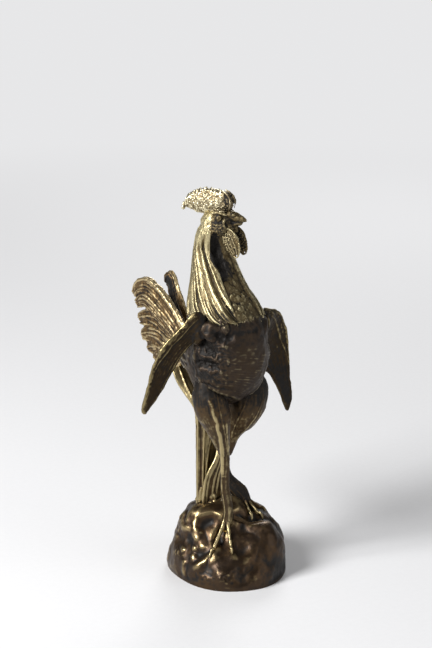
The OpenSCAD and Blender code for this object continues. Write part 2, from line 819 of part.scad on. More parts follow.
// Wings: pairs of outer and inner edge points, each [reach, sweep, drop] from the shoulder.
right_outer_shares = [
    [0, -0.31, 0.06], [0.19, -0.31, 0.117], [0.45, -0.08, -0.064], [0.715, 0.08, -0.213],
    [0.89, 0.31, -0.432], [0.99, 0.46, -0.706], [1.055, 0.62, -0.909], [1, 0.62, -0.975]];
right_inner_shares = [
    [0, -0.6, -0.15], [0.02, -0.62, -0.15], [0.13, -0.15, -0.20], [0.36, 0.15, -0.39],
    [0.54, 0.38, -0.61], [0.75, 0.54, -0.81], [0.95, 0.62, -0.945], [0.99, 0.62, -0.98]];
left_outer_shares = [
    [0, -0.31, 0.033], [0.40, -0.08, -0.017], [0.63, 0.08, -0.083], [0.82, 0.23, -0.24],
    [0.92, 0.38, -0.427], [0.99, 0.46, -0.65], [1.11, 0.62, -0.883], [1, 0.62, -1.005]];
left_inner_shares = [
    [0, -0.6, -0.18], [0.02, -0.46, -0.23], [0.075, 0, -0.34], [0.185, 0.38, -0.45],
    [0.43, 0.62, -0.583], [0.59, 0.62, -0.655], [0.80, 0.62, -0.817], [0.98, 0.62, -1]];
wing_root_share = 0.875;
wing_sweep = 13;
wing_steps = 12;
wing_sides = 12;
wing_camber_share = 0.10;
wing_thick_shares = [1.6, 1.5, 1.3, 1.1, 1, 0.9, 0.8, 0.6];

function wing_edge(shares, side, drop, t) =
    let (s = curve_point(shares, t))
    [side * (wing_root_share * body_w / 2 + s[0] * wing_reach), s[1] * wing_sweep, shoulder_z + s[2] * drop];

// Feather ridges fanned over the blade, from near the outer edge to near the inner edge
wing_quills = 8;
quill_shares = [0.20, 0.86];
quill_rim_share = 0.86;
quill_tip_share = 0.30;

module wing(side, drop, outer_shares, inner_shares) {
    outer = [for (i = [0 : wing_steps]) wing_edge(outer_shares, side, drop, i / wing_steps)];
    inner = [for (i = [0 : wing_steps]) wing_edge(inner_shares, side, drop, i / wing_steps)];
    middle = (outer + inner) / 2;
    thick = [for (i = [0 : wing_steps]) wing_t * curve_point(wing_thick_shares, i / wing_steps)];
    function across(i) = unit(outer[i] - inner[i]);
    function normal(i) = unit(cross(tangent(middle, i), across(i)));
    function backward(i) = normal(i) * (normal(i)[1] > 0 ? 1 : -1);
    function bulge(i) = backward(i) * norm(outer[i] - inner[i]) * wing_camber_share;
    difference() {
        union() {
            skin([for (i = [0 : wing_steps])
                [for (j = [0 : wing_sides - 1])
                    let (a = 360 * j / wing_sides)
                    middle[i] + (outer[i] - inner[i]) / 2 * cos(a)
                        + normal(i) * thick[i] / 2 * sin(a) + bulge(i) * sin(a) * sin(a)]]);
            for (k = [0 : wing_quills - 1])
                let (t = quill_shares[0] + (quill_shares[1] - quill_shares[0]) * k / (wing_quills - 1),
                     i = round(t * wing_steps),
                     j = min(i + 2, wing_steps),
                     rim = inner[i] + (outer[i] - inner[i]) * quill_rim_share,
                     tip = inner[j] + (outer[j] - inner[j]) * quill_tip_share)
                hull() {
                    ball(rim - bulge(i) / 4, wing_t);
                    ball(tip + bulge(j) / 4, wing_t * 0.9);
                }
            lump(wing_tenon(side)[0] + [0, 0, wing_t], [wing_t * 2, tenon_d * 1.6, tenon_d * 2.4],
                sides = slim_sides);
        }
        torso_form(seam);
        neck_form(seam);
    }
    tenon(wing_tenon(side));
}

module right_wing() {
    color(bronze_dark) difference() {
        wing(-1, right_wing_drop, right_outer_shares, right_inner_shares);
        lock_pin(wing_tenon(-1), [0, 0, 1], fit_gap);
    }
}

module left_wing() {
    color(bronze_dark) difference() {
        wing(1, left_wing_drop, left_outer_shares, left_inner_shares);
        lock_pin(wing_tenon(1), [0, 0, 1], fit_gap);
    }
}

// Tail: each feather is a path of [backwards, up] from the rump's end to the feather's tip.
low_tail_shares = [
    [[0, 0.32], [0.29, 0.31], [0.58, 0.37], [0.83, 0.31]],
    [[0, 0.32], [0.29, 0.24], [0.54, 0.245], [0.73, 0.18]],
    [[0, 0.32], [0.25, 0.20], [0.46, 0.15], [0.59, 0.08]],
    [[0, 0.32], [0.17, 0.17], [0.33, 0.12], [0.44, 0.05]]];
right_tail_shares = concat([
    [[0, 0.32], [0.08, 0.48], [0.34, 0.69], [0.66, 0.86], [0.88, 0.83], [0.98, 0.72]],
    [[0, 0.32], [0.14, 0.41], [0.44, 0.60], [0.74, 0.72], [0.93, 0.64]],
    [[0, 0.32], [0.25, 0.41], [0.58, 0.54], [0.90, 0.48]]], low_tail_shares);
left_tail_shares = concat([
    [[0, 0.32], [0.32, 0.32], [0.58, 0.43], [0.78, 0.68], [0.88, 0.88], [0.97, 0.79]],
    [[0, 0.32], [0.32, 0.29], [0.60, 0.40], [0.80, 0.58], [0.93, 0.66]],
    [[0, 0.32], [0.30, 0.30], [0.60, 0.40], [0.88, 0.46]]], low_tail_shares);
tail_root_share = 0.77;
tail_low_share = 0.20;
tail_half_gap = 8;
tail_steps = 6;
tail_width_shares = [0.6, 0.9, 1, 1, 0.95, 0.8, 0.5];
tail_lean = 2.1;
// Each feather stands a little further out than the one above it, and every other one a little more.
tail_lap_share = 0.033;
tail_stagger_share = 0.18;

module tail_fan(side, feathers) {
    function lap(i) = feather_t * (tail_lap_share * i + tail_stagger_share * (i % 2));
    function at(s, i) =
        [side * (tail_half_gap + tail_lean * s[0] + lap(i)),
         tail_root_share * rump_l + s[0] * tail_l,
         belly_z + tail_low_share * body_h + s[1] * tail_h];
    color(bronze_light) difference() {
        union() {
            difference() {
                for (i = [0 : len(feathers) - 1]) {
                    path = [for (s = smooth(feathers[i], tail_steps)) at(s, i)];
                    thin = [for (k = [0 : tail_steps]) feather_t * (1 - 0.3 * k / tail_steps)];
                    broad = [for (k = [0 : tail_steps])
                        feather_w * curve_point(tail_width_shares, k / tail_steps)];
                    bar(path, thin, broad, sides = lump_sides);
                    hull() {
                        ball(path[tail_steps], feather_t * 0.7);
                        ball(path[tail_steps - 1], feather_t * 0.7);
                        ball(path[tail_steps] + [0, feather_t / 3, -feather_t], feather_t * 0.5);
                    }
                }
                torso_form(seam);
            }
            difference() {
                hull() {
                    lump(tail_tenon(side)[0] + [side * feather_t / 2, 0, 0],
                        [feather_t * 2, tenon_d * 2, tenon_d * 2], sides = slim_sides);
                    ball(at(feathers[1][1], 1), feather_t);
                }
                torso_form(seam);
            }
            tenon(tail_tenon(side));
        }
        lock_pin(tail_tenon(side), [0, 0, 1], fit_gap);
    }
}

module right_tail_fan() {
    tail_fan(-1, right_tail_shares);
}

module left_tail_fan() {
    tail_fan(1, left_tail_shares);
}

// Drooping plumes: each path comes down from the rump in [side, back, height over the crown of the rock],
// and then stands in [side, back, height] from its foot on the rock.
right_plume_shares = [
    [[[-0.63, 0.87, 1.275], [-0.58, 0.70, 1.14], [-0.48, 0.48, 0.98], [-0.45, 0.41, 0.83]],
     [[-0.147, 0.144, 0.46], [-0.119, 0.079, -0.05]]],
    [[[-0.50, 0.85, 1.25], [-0.45, 0.66, 1.11], [-0.39, 0.45, 0.98], [-0.36, 0.37, 0.8]],
     [[0.11, -0.024, 0.46], [0.11, -0.056, -0.05]]]];
// On the left, the leaf and the narrow feather that hangs behind it
left_plume_shares = [
    [[[0.60, 0.81, 1.21], [0.45, 0.64, 1.02], [0.22, 0.38, 0.75]],
     [[1.024, -0.897, 0.45], [0.567, -0.764, 0.21], [0.396, -0.676, -0.05]]],
    [[[0.23, 0.43, 0.80], [-0.05, 0.41, 0.67]],
     [[0.77, 0, 0.51], [0.68, -0.05, 0.28], [0.60, -0.1, -0.05]]]];
right_plume_width_shares = [0.9, 0.65, 0.45, 0.36, 0.36, 0.6];
left_plume_width_shares = [[1, 0.85, 0.65, 0.55, 1.1, 1.2], [0.35, 0.7, 0.9, 0.9, 0.8]];
plume_steps = 11;
plume_knob_share = 0.6;
plume_tenon_d = 3.4;
plume_tenon_l = 7;
// Metal round the stud in the foot that the two strands on the right share
plume_foot_wall = 1.2;

function plume_at(s) = [s[0] * body_w / 2, s[1] * rump_l, base_h + s[2] * leg_clear];
function foot_at(s) = on_rock(plume_foot_share) + [s[0] * plume_w, s[1] * plume_w, s[2] * leg_clear];
function plume_path(shares) =
    smooth(concat([for (s = shares[0]) plume_at(s)], [for (s = shares[1]) foot_at(s)]), plume_steps);

module plume(shares, width_shares, grow = 0) {
    bar(plume_path(shares),
        [for (k = [0 : plume_steps]) plume_w * curve_point(width_shares, k / plume_steps)],
        [for (k = [0 : plume_steps]) feather_t],
        flat = [0, 1, 0.3], sides = slim_sides, grow = grow);
}

module plume_tenon(side, grow = 0) {
    root = plume_at((side < 0 ? right_plume_shares : left_plume_shares)[0][0][0]);
    start = root - [side * plume_tenon_d / 2, 0, plume_tenon_d];
    rod(start, start + unit([-side, -1, 2]) * (plume_tenon_l + grow), plume_tenon_d + 2 * grow);
}

// Knobs where a plume meets the rock
module plume_feet(shares, size) {
    foot = foot_at(shares[1][len(shares[1]) - 1]);
    for (i = [0 : 3])
        hull() {
            ball(foot + [0, 0, size], size / 2);
            ball([foot[0] + size / 2 * cos(90 * i), foot[1] + size / 2 * sin(90 * i), foot[2]], size * 0.6);
        }
}

// Foot that takes the stud under the two strands on the right
module stud_foot(grow = 0) {
    low = on_rock(plume_foot_share);
    high = pad(plume_foot_share) + [0, 0, stud_l - washer_t - nut_t - thread_over];
    hull() {
        ball(low, plume_w + 2 * grow, sides = slim_sides);
        ball(high, stud_d + 2 * plume_foot_wall + 2 * grow, sides = slim_sides);
    }
}

module right_plumes() {
    color(bronze_mid) difference() {
        union() {
            difference() {
                for (shares = right_plume_shares)
                    plume(shares, right_plume_width_shares);
                torso_form(seam);
            }
            plume_feet(right_plume_shares[0], plume_knob_share * plume_w);
            plume_feet(right_plume_shares[1], plume_knob_share * plume_w);
            stud_foot();
            plume_tenon(-1);
        }
        rock_form(seam);
        stud_at(plume_foot_share, fit_gap);
    }
}

module left_plume() {
    color(bronze_mid) difference() {
        union() {
            difference() {
                for (k = [0 : len(left_plume_shares) - 1])
                    plume(left_plume_shares[k], left_plume_width_shares[k]);
                torso_form(seam);
            }
            plume_feet(left_plume_shares[0], plume_w);
            plume_feet(left_plume_shares[1], plume_knob_share * plume_w);
            plume_tenon(1);
        }
        rock_form(seam);
        for (shares = right_plume_shares) {
            plume(shares, right_plume_width_shares, seam);
            plume_feet(shares, plume_knob_share * plume_w + 2 * seam);
        }
        stud_foot(seam);
    }
}

// Legs: thigh paths of [side, back, height over the crown of the rock], hip to hock.
right_thigh_shares = [
    [-0.62, 0.02, 1.42], [-0.63, -0.05, 1.15], [-0.56, -0.14, 0.98],
    [-0.48, -0.22, 0.84], [-0.40, -0.28, 0.68], [-0.33, -0.30, 0.547]];
left_thigh_shares = [
    [0.62, 0.02, 1.42], [0.65, -0.06, 1.15], [0.59, -0.02, 0.98],
    [0.46, 0.12, 0.80], [0.34, 0.22, 0.66], [0.20, 0.31, 0.44]];
right_thigh_width_shares = [0.30, 0.80, 0.84, 0.68, 0.42, 0.27];
left_thigh_width_shares = [0.30, 0.90, 1, 0.80, 0.46, 0.26];
shank_width_shares = [1.15, 1, 0.95, 1.1, 1.5];
// Toes: [compass angle, length], counted from the bird's left
right_toe_shares = [[202, 0.74], [246, 0.60], [336, 0.98], [60, 0.45]];
left_toe_shares = [[254, 0.62], [284, 0.60], [318, 0.50], [100, 0.42]];
toe_width_shares = [1.3, 1.1, 1, 0.85, 0.3];
toe_reach_shares = [0, 0.3, 0.65, 1, 1.25];
toe_lift_shares = [0.9, 0.35, 0.3, 0.25, -0.3];
thigh_steps = 11;

function leg_at(s) = [s[0] * body_w / 2, s[1] * body_d / 2, base_h + s[2] * leg_clear];

module toes(foot, shares) {
    for (s = shares) {
        path = [for (k = [0 : len(toe_reach_shares) - 1])
            let (p = [foot[0], foot[1]] + polar(s[1] * toe_l * toe_reach_shares[k], s[0]))
            [p[0], p[1], ground(p) + toe_lift_shares[k] * toe_w]];
        tapered(path, toe_width_shares * toe_w);
    }
}

module leg(side, thigh_shares, thigh_widths, foot_share, toe_shares) {
    thigh_path = [for (s = smooth(thigh_shares, thigh_steps)) leg_at(s)];
    girth = [for (k = [0 : thigh_steps]) thigh_w * curve_point(thigh_widths, k / thigh_steps)];
    hock = thigh_path[thigh_steps];
    foot = on_rock(foot_share);
    bend = [-0.5, 1, 0] * shank_w / 4;
    shank = [hock + [0, 0, shank_w], hock, (hock + foot) / 2 + bend, foot + [0, 0, shank_w], foot];
    color(bronze_mid) {
        difference() {
            union() {
                bar(thigh_path, girth, girth, flat = [0, 1, 0], sides = 2 * lump_sides);
                bar(shank, shank_width_shares * shank_w, shank_width_shares * shank_w, flat = [0, 1, 0]);
                toes(foot, toe_shares);
            }
            torso_form(seam);
            rock_form(seam);
            stud_at(foot_share, fit_gap);
        }
        difference() {
            tenon(hip_tenon(side));
            lock_pin(hip_tenon(side), [0, 1, 0], fit_gap);
        }
    }
}

module right_leg() {
    leg(-1, right_thigh_shares, right_thigh_width_shares, right_foot_share, right_toe_shares);
}

module left_leg() {
    leg(1, left_thigh_shares, left_thigh_width_shares, left_foot_share, left_toe_shares);
}

rock_base();
torso();
core_plug();
neck_and_head();
comb();
right_wattle();
left_wattle();
right_wing();
left_wing();
right_tail_fan();
left_tail_fan();
right_plumes();
left_plume();
right_leg();
left_leg();
studs();
washers();
nuts();
neck_pins();
wing_pins();
tail_pins();
hip_pins();
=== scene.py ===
import logging
import math
from dataclasses import dataclass
from enum import Enum
from itertools import product
from typing import Callable, NamedTuple, Optional, Sequence

import bpy
import numpy as np
from bpy.types import ID, Material, Mesh, Node, NodeOutputs, NodeSocket, NodeTree, Object
from mathutils import Matrix, Vector


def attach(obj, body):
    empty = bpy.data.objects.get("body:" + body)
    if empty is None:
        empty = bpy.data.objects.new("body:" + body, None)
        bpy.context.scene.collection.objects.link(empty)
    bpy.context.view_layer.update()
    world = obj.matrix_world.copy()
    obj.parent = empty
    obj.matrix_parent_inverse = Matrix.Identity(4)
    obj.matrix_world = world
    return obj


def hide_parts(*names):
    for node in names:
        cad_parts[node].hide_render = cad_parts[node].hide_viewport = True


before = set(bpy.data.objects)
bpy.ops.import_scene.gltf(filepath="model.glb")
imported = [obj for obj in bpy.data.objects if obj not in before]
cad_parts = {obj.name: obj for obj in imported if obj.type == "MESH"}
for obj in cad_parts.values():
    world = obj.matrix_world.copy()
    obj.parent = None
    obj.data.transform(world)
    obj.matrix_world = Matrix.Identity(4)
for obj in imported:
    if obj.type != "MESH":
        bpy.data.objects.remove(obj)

log = logging.getLogger("rooster")

MM = 0.001
Rows = np.ndarray


class Side(Enum):
    """Side of the bird; its left is +X."""

    RIGHT = -1
    LEFT = 1

    @property
    def label(self) -> str:
        """The side as the names of pieces give it."""
        return self.name.lower()


class Slot(Enum):
    """Names of the record's material slots."""

    BASE = "base_bronze"
    BODY = "body_bronze"
    RUBBED = "rubbed_bronze"
    WING = "wing_bronze"
    TAIL = "tail_bronze"


# Curves, noise and closed shells. All lengths are in millimetres until a mesh is made.


def spline(points: Sequence, shares: Rows) -> Rows:
    """Catmull-Rom curve, as the solids use it.

    Args:
        points: The rows, or the plain numbers, that the curve passes through.
        shares: Places along the curve, from 0 to 1.

    Returns:
        One row or number for each share.
    """
    rows = np.asarray(points, float)
    last = len(rows) - 1
    place = np.clip(np.atleast_1d(shares), 0, 1) * last
    i = np.minimum(np.floor(place).astype(int), last - 1)
    f = (place - i).reshape([-1] + [1] * (rows.ndim - 1))
    p0, p1, p2, p3 = rows[np.maximum(i - 1, 0)], rows[i], rows[i + 1], rows[np.minimum(i + 2, last)]
    return (
        2 * p1 + (p2 - p0) * f + (2 * p0 - 5 * p1 + 4 * p2 - p3) * f**2 + (3 * p1 - p0 - 3 * p2 + p3) * f**3
    ) / 2


def unit(v: Rows) -> Rows:
    """Vectors scaled to length one along their last axis."""
    return v / np.maximum(np.linalg.norm(v, axis=-1, keepdims=True), 1e-9)


def tangents(path: Rows) -> Rows:
    """Unit direction of travel at each point of a path."""
    return unit(np.vstack([path[1:], path[-1:]]) - np.vstack([path[:1], path[:-1]]))


def axes(path: Rows, flat: Sequence[float]) -> tuple[Rows, Rows]:
    """Unit directions across a path, square to flat, and up from the path and across."""
    along = tangents(path)
    across = unit(np.cross(np.broadcast_to(np.asarray(flat, float), along.shape), along))
    return across, np.cross(along, across)


def polar(degrees: Rows) -> tuple[Rows, Rows]:
    """Cosine and sine of an angle in degrees."""
    return np.cos(np.radians(degrees)), np.sin(np.radians(degrees))


def ease(x: Rows, low: float, high: float) -> Rows:
    """Smooth step from 0 at low to 1 at high."""
    t = np.clip((np.asarray(x, float) - low) / (high - low), 0, 1)
    return t * t * (3 - 2 * t)


def arc(count: int, low: float, high: float, power: float) -> Rows:
    """Rise and fall along a cord: the sine of low to high half turns, to a power."""
    return np.sin(np.linspace(low, high, count) * math.pi) ** power


def clay(points: Rows, size: float, seed: int) -> Rows:
    """Smooth lattice noise.

    Args:
        points: Places in millimetres, one row each.
        size: Width of one lump.
        seed: Which noise.

    Returns:
        A value from -1 to 1 for each point.
    """
    table = np.random.default_rng(seed).uniform(-1, 1, 4096)
    grid = points / size
    base = np.floor(grid).astype(np.int64)
    f = grid - base
    f = f * f * (3 - 2 * f)
    total = np.zeros(len(points))
    for corner in range(8):
        step = np.array([corner & 1, corner >> 1 & 1, corner >> 2 & 1])
        key = (base + step) * np.array([73856093, 19349663, 83492791])
        key = (key[:, 0] ^ key[:, 1] ^ key[:, 2]) & 4095
        total += table[key] * np.where(step, f, 1 - f).prod(1)
    return total


def clays(points: Rows, *terms: tuple) -> Rows:
    """Sum of noises; each term is [height, width of a lump, seed]."""
    return sum(height * clay(points, size, seed) for height, size, seed in terms)


def glow(p: Rows, at: Sequence[float], size: Sequence[float]) -> Rows:
    """1 at a place, fading to 0 over the given sizes."""
    return np.exp(-(((p - at) / size) ** 2).sum(1))


def bare_mesh(name: str, points: Rows) -> Mesh:
    """A Blender mesh in metres that has points only."""
    mesh = bpy.data.meshes.new(name)
    mesh.vertices.add(len(points))
    mesh.vertices.foreach_set("co", (np.asarray(points) * MM).astype(np.float32).ravel())
    return mesh


def linked(name: str, data: ID) -> Object:
    """A new object in the scene."""
    made = bpy.data.objects.new(name, data)
    bpy.context.scene.collection.objects.link(made)
    return made


def with_attributes(mesh: Mesh, values: dict) -> Mesh:
    """The mesh with float or vector attributes on its points.

    Args:
        mesh: The mesh.
        values: Numbers or rows for each attribute's name.

    Returns:
        The same mesh.
    """
    for name, value in values.items():
        value = np.asarray(value, np.float32)
        kind, key = ("FLOAT", "value") if value.ndim == 1 else ("FLOAT_VECTOR", "vector")
        mesh.attributes.new(name, kind, "POINT").data.foreach_set(key, value.ravel())
    return mesh


@dataclass
class Shell:
    """Closed mesh: points, the point of every face corner, and the corners of each face."""

    points: Rows
    corners: Rows
    counts: Rows

    @staticmethod
    def of(points: Rows, faces: Sequence[Sequence[int]]) -> "Shell":
        """A shell from points and a list of faces."""
        corners = np.array([c for face in faces for c in face], np.int32)
        return Shell(np.asarray(points, float), corners, np.array([len(face) for face in faces], np.int32))

    @staticmethod
    def read(mesh: Mesh) -> "Shell":
        """A shell from a Blender mesh in metres.

        Args:
            mesh: The mesh.

        Returns:
            The shell, in millimetres.
        """
        points = np.empty(len(mesh.vertices) * 3, np.float32)
        corners = np.empty(len(mesh.loops), np.int32)
        counts = np.empty(len(mesh.polygons), np.int32)
        mesh.vertices.foreach_get("co", points)
        mesh.loops.foreach_get("vertex_index", corners)
        mesh.polygons.foreach_get("loop_total", counts)
        return Shell(points.reshape(-1, 3).astype(float) / MM, corners, counts)

    @staticmethod
    def joined(shells: Sequence["Shell"]) -> "Shell":
        """Several shells as one.

        Args:
            shells: The shells.

        Returns:
            One shell.
        """
        starts = np.cumsum([0] + [len(s.points) for s in shells])
        return Shell(
            np.vstack([s.points for s in shells]),
            np.concatenate([s.corners + start for s, start in zip(shells, starts)]),
            np.concatenate([s.counts for s in shells]),
        )

    @property
    def starts(self) -> Rows:
        """Index of each face's first corner."""
        return np.concatenate([[0], np.cumsum(self.counts)[:-1]]).astype(np.int32)

    def following(self) -> Rows:
        """The next point round the face, for every face corner."""
        ahead = np.roll(self.corners, -1)
        ahead[self.starts + self.counts - 1] = self.corners[self.starts]
        return ahead

    def normals(self) -> Rows:
        """Unit normal of every point."""
        a, b = self.points[self.corners], self.points[self.following()]
        face = np.repeat(np.add.reduceat(np.cross(a, b), self.starts, axis=0), self.counts, axis=0)
        return unit(np.stack([np.bincount(self.corners, face[:, k], len(self.points)) for k in range(3)], 1))

    def eased(self, rounds: int, share: float = 0.5) -> Rows:
        """Moves each point towards the middle of its neighbours.

        Args:
            rounds: How many times.
            share: How much of the way.

        Returns:
            The moved points.
        """
        size = len(self.points)
        pairs = np.sort(np.stack([self.corners, self.following()], 1), axis=1)
        a, b = np.divmod(np.unique(pairs[:, 0].astype(np.int64) * size + pairs[:, 1]), size)
        near = np.maximum(np.bincount(a, minlength=size) + np.bincount(b, minlength=size), 1)
        points = self.points.copy()
        for _ in range(rounds):
            for k in range(3):
                middle = np.bincount(a, points[b, k], size) + np.bincount(b, points[a, k], size)
                points[:, k] += (middle / near - points[:, k]) * share
        return points

    def moved(self, points: Rows) -> "Shell":
        """The same faces on other points."""
        return Shell(points, self.corners, self.counts)

    def pushed(self, push: Rows, rounds: int = 1, share: float = 0.3) -> "Shell":
        """The shell with each point pushed outwards, then eased."""
        shell = self.moved(self.points + self.normals() * push[:, None])
        return shell.moved(shell.eased(rounds, share))

    def mesh(self, name: str) -> Mesh:
        """This shell as a Blender mesh in metres.

        Args:
            name: The mesh's name.

        Returns:
            The mesh.
        """
        mesh = bare_mesh(name, self.points)
        mesh.loops.add(len(self.corners))
        mesh.loops.foreach_set("vertex_index", self.corners)
        mesh.polygons.add(len(self.counts))
        mesh.polygons.foreach_set("loop_start", self.starts)
        mesh.update(calc_edges=True)
        return mesh


def loft(rings: Rows) -> Shell:
    """Closed skin over a stack of rings.

    Args:
        rings: Rings, points and coordinates, with the same number of points in each ring.

    Returns:
        The skin, with a fan over each end.
    """
    m, n = rings.shape[:2]
    grid = np.arange(m * n).reshape(m, n)
    side = np.roll(grid, -1, axis=1)
    quads = np.stack([grid[:-1], side[:-1], side[1:], grid[1:]], -1).reshape(-1, 4)
    low = np.stack([np.full(n, m * n), side[0], grid[0]], -1)
    high = np.stack([np.full(n, m * n + 1), grid[-1], side[-1]], -1)
    return Shell(
        np.vstack([rings.reshape(-1, 3), rings[0].mean(0), rings[-1].mean(0)]),
        np.concatenate([quads.ravel(), low.ravel(), high.ravel()]).astype(np.int32),
        np.concatenate([np.full(len(quads), 4), np.full(2 * n, 3)]).astype(np.int32),
    )


def upright(rows: Rows, sides: int, ripple: Optional[Callable] = None, grow: float = 0) -> Shell:
    """Stack of ellipses; a row is [height, middle x, middle y, half width, half depth].

    Args:
        rows: The ellipses from the lowest up.
        sides: Points round each one.
        ripple: Extra radius at an angle in degrees and a share of the way up.
        grow: Extra radius everywhere.

    Returns:
        The skin.
    """
    angle = np.linspace(0, 360, sides, endpoint=False)[None, :]
    up = np.linspace(0, 1, len(rows))[:, None]
    more = grow + (ripple(angle, up) if ripple else 0 * angle * up)
    c, s = polar(angle)
    x = rows[:, 1:2] + (rows[:, 3:4] + more) * c
    y = rows[:, 2:3] + (rows[:, 4:5] + more) * s
    return loft(np.stack([x, y, np.broadcast_to(rows[:, :1], x.shape)], -1))


def sweep(path: Rows, wide: Rows, thick: Rows, flat: Sequence[float] = (0, 0, 1), sides: int = 16) -> Shell:
    """Rounded bar along a path.

    Args:
        path: Middle points.
        wide: Full width at each point.
        thick: Full thickness at each point, roughly along flat.
        flat: Direction that the width stays square to.
        sides: Points round the bar.

    Returns:
        The skin.
    """
    across, up = axes(path, flat)
    angle = np.linspace(0, 2 * math.pi, sides, endpoint=False)[None, :, None]
    wide, thick = np.broadcast_to(wide, len(path)), np.broadcast_to(thick, len(path))
    return loft(
        path[:, None]
        + across[:, None] * wide[:, None, None] / 2 * np.cos(angle)
        + up[:, None] * thick[:, None, None] / 2 * np.sin(angle)
    )


def lump(at: Sequence[float], size: Sequence[float], turn: Optional[Rows] = None) -> Shell:
    """Ellipsoid.

    Args:
        at: Its middle.
        size: Its full sizes.
        turn: Matrix whose columns are its own axes.

    Returns:
        Its skin.
    """
    fine = 2 if max(size) > 9 else 1
    tilt = np.linspace(-0.5, 0.5, 13 * fine)[1:-1, None] * math.pi
    angle = np.linspace(0, 2 * math.pi, 22 * fine, endpoint=False)[None, :]
    level = np.cos(tilt)
    ball = np.stack([level * np.cos(angle), level * np.sin(angle), np.sin(tilt) + 0 * angle], -1)
    ball = ball * (np.asarray(size, float) / 2)
    if turn is not None:
        ball = ball @ np.asarray(turn).T
    return loft(ball + np.asarray(at, float))


def taper(path: Sequence, widths: Sequence[float], steps: int = 12) -> Shell:
    """Round bar through a few points, with its ends rounded off."""
    t = np.linspace(0, 1, steps + 1)
    rows = spline(np.column_stack([np.asarray(path, float), widths]), t)
    wide = rows[:, 3] * np.minimum(1, np.sqrt(np.maximum(1e-4, 1 - (2 * t - 1) ** 8)))
    return sweep(rows[:, :3], wide, wide, flat=(0.3, 0.9, 0.2), sides=14)


def plain(carrier: Object) -> Shell:
    """Takes the evaluated mesh off a carrier and removes the carrier.

    Args:
        carrier: The object with the modifier.

    Returns:
        The mesh as a shell.
    """
    bpy.context.view_layer.update()
    made = bpy.data.meshes.new_from_object(carrier.evaluated_get(bpy.context.evaluated_depsgraph_get()))
    shell = Shell.read(made)
    source = carrier.data
    bpy.data.objects.remove(carrier)
    bpy.data.meshes.remove(source)
    bpy.data.meshes.remove(made)
    return shell


def cast(shells: Sequence[Shell], voxel: float) -> Shell:
    """Fuses overlapping shells into one even skin, as wax is before it is cast.

    Args:
        shells: The overlapping shells.
        voxel: Size of the skin's faces.

    Returns:
        The fused skin.
    """
    carrier = linked("wax", Shell.joined(shells).mesh("wax"))
    remesh = carrier.modifiers.new("fuse", "REMESH")
    remesh.mode = "VOXEL"
    remesh.voxel_size = voxel * MM
    return plain(carrier)


def hollowed(skin: Shell, cut: Shell) -> Shell:
    """The skin with another closed shell taken out of it.

    Args:
        skin: The skin.
        cut: The closed shell that is taken out.

    Returns:
        The hollowed skin.
    """
    carrier, tool = linked("skin", skin.mesh("skin")), linked("cut", cut.mesh("cut"))
    take = carrier.modifiers.new("take", "BOOLEAN")
    take.operation, take.solver, take.object = "DIFFERENCE", "MANIFOLD", tool
    made = plain(carrier)
    bpy.data.objects.remove(tool)
    return made


def relief(skin: Shell) -> Rows:
    """How far each point stands proud of its surroundings.

    Args:
        skin: The casting's skin.

    Returns:
        From 0 in a groove to 1 on a ridge.
    """
    out = skin.normals()
    total = np.full(len(out), 0.5)
    for rounds, height, weight in ((4, 0.05, 0.14), (28, 0.2, 0.2), (120, 0.55, 0.16)):
        proud = ((skin.points - skin.eased(rounds)) * out).sum(1)
        total += weight * np.tanh(proud / height)
    return total


def dent(p: Rows, at: Sequence[float], reach: float, depth: float) -> Rows:
    """Depth at each point of a round hollow pressed in at a place."""
    return depth * np.exp(-((np.linalg.norm(p - np.asarray(at, float), axis=1) / reach) ** 2))


def slot_dent(p: Rows, route: Sequence, reach: float, depth: float) -> Rows:
    """Depth at each point of a long hollow pressed in along a route."""
    near = np.full(len(p), np.inf)
    for place in spline(route, np.linspace(0, 1, 14)):
        near = np.minimum(near, np.linalg.norm(p - place, axis=1))
    return depth * np.exp(-((near / reach) ** 2))


def swell(p: Rows, route: Sequence, reach: float, height: float) -> Rows:
    """Soft fold along a route, which fades at both ends.

    Args:
        p: Points of the skin.
        route: Places that the fold passes.
        reach: How far it spreads.
        height: Its height.

    Returns:
        The height at each point.
    """
    share = np.linspace(0, 1, 26)
    path = spline(route, share)
    fades = np.sin((0.08 + 0.84 * share) * math.pi) ** 0.6
    best = np.zeros(len(p))
    for a, b, fade in zip(path[:-1], path[1:], fades):
        along = np.clip((p - a) @ (b - a) / max(float((b - a) @ (b - a)), 1e-9), 0, 1)
        far = np.linalg.norm(p - a - np.outer(along, b - a), axis=1)
        best = np.maximum(best, fade * np.exp(-((far / reach) ** 2)))
    return height * best


# Node trees, for what repeats or follows a path and for the finishes


class Signal:
    """A shader socket that can be used in sums and products."""

    def __init__(self, bench: "Bench", socket: NodeSocket) -> None:
        """Wraps a socket of the bench's material."""
        self.bench, self.socket = bench, socket

    def _maths(self, operation: str, a: object, b: object) -> "Signal":
        """A Math node on two values."""
        return self.bench.add("ShaderNodeMath", {"operation": operation}, {0: a, 1: b})

    def __add__(self, other: object) -> "Signal":
        """The sum."""
        return self._maths("ADD", self, other)

    def __sub__(self, other: object) -> "Signal":
        """The difference."""
        return self._maths("SUBTRACT", self, other)

    def __rsub__(self, other: object) -> "Signal":
        """The difference from another value."""
        return self._maths("SUBTRACT", other, self)

    def __mul__(self, other: object) -> "Signal":
        """The product."""
        return self._maths("MULTIPLY", self, other)

    __radd__ = __add__
    __rmul__ = __mul__

    def step(self, low: float, high: float) -> "Signal":
        """Smooth step from 0 at low to 1 at high."""
        settings = {"interpolation_type": "SMOOTHSTEP", "clamp": True}
        sockets = {"Value": self, "From Min": low, "From Max": high}
        return self.bench.add("ShaderNodeMapRange", settings, sockets)


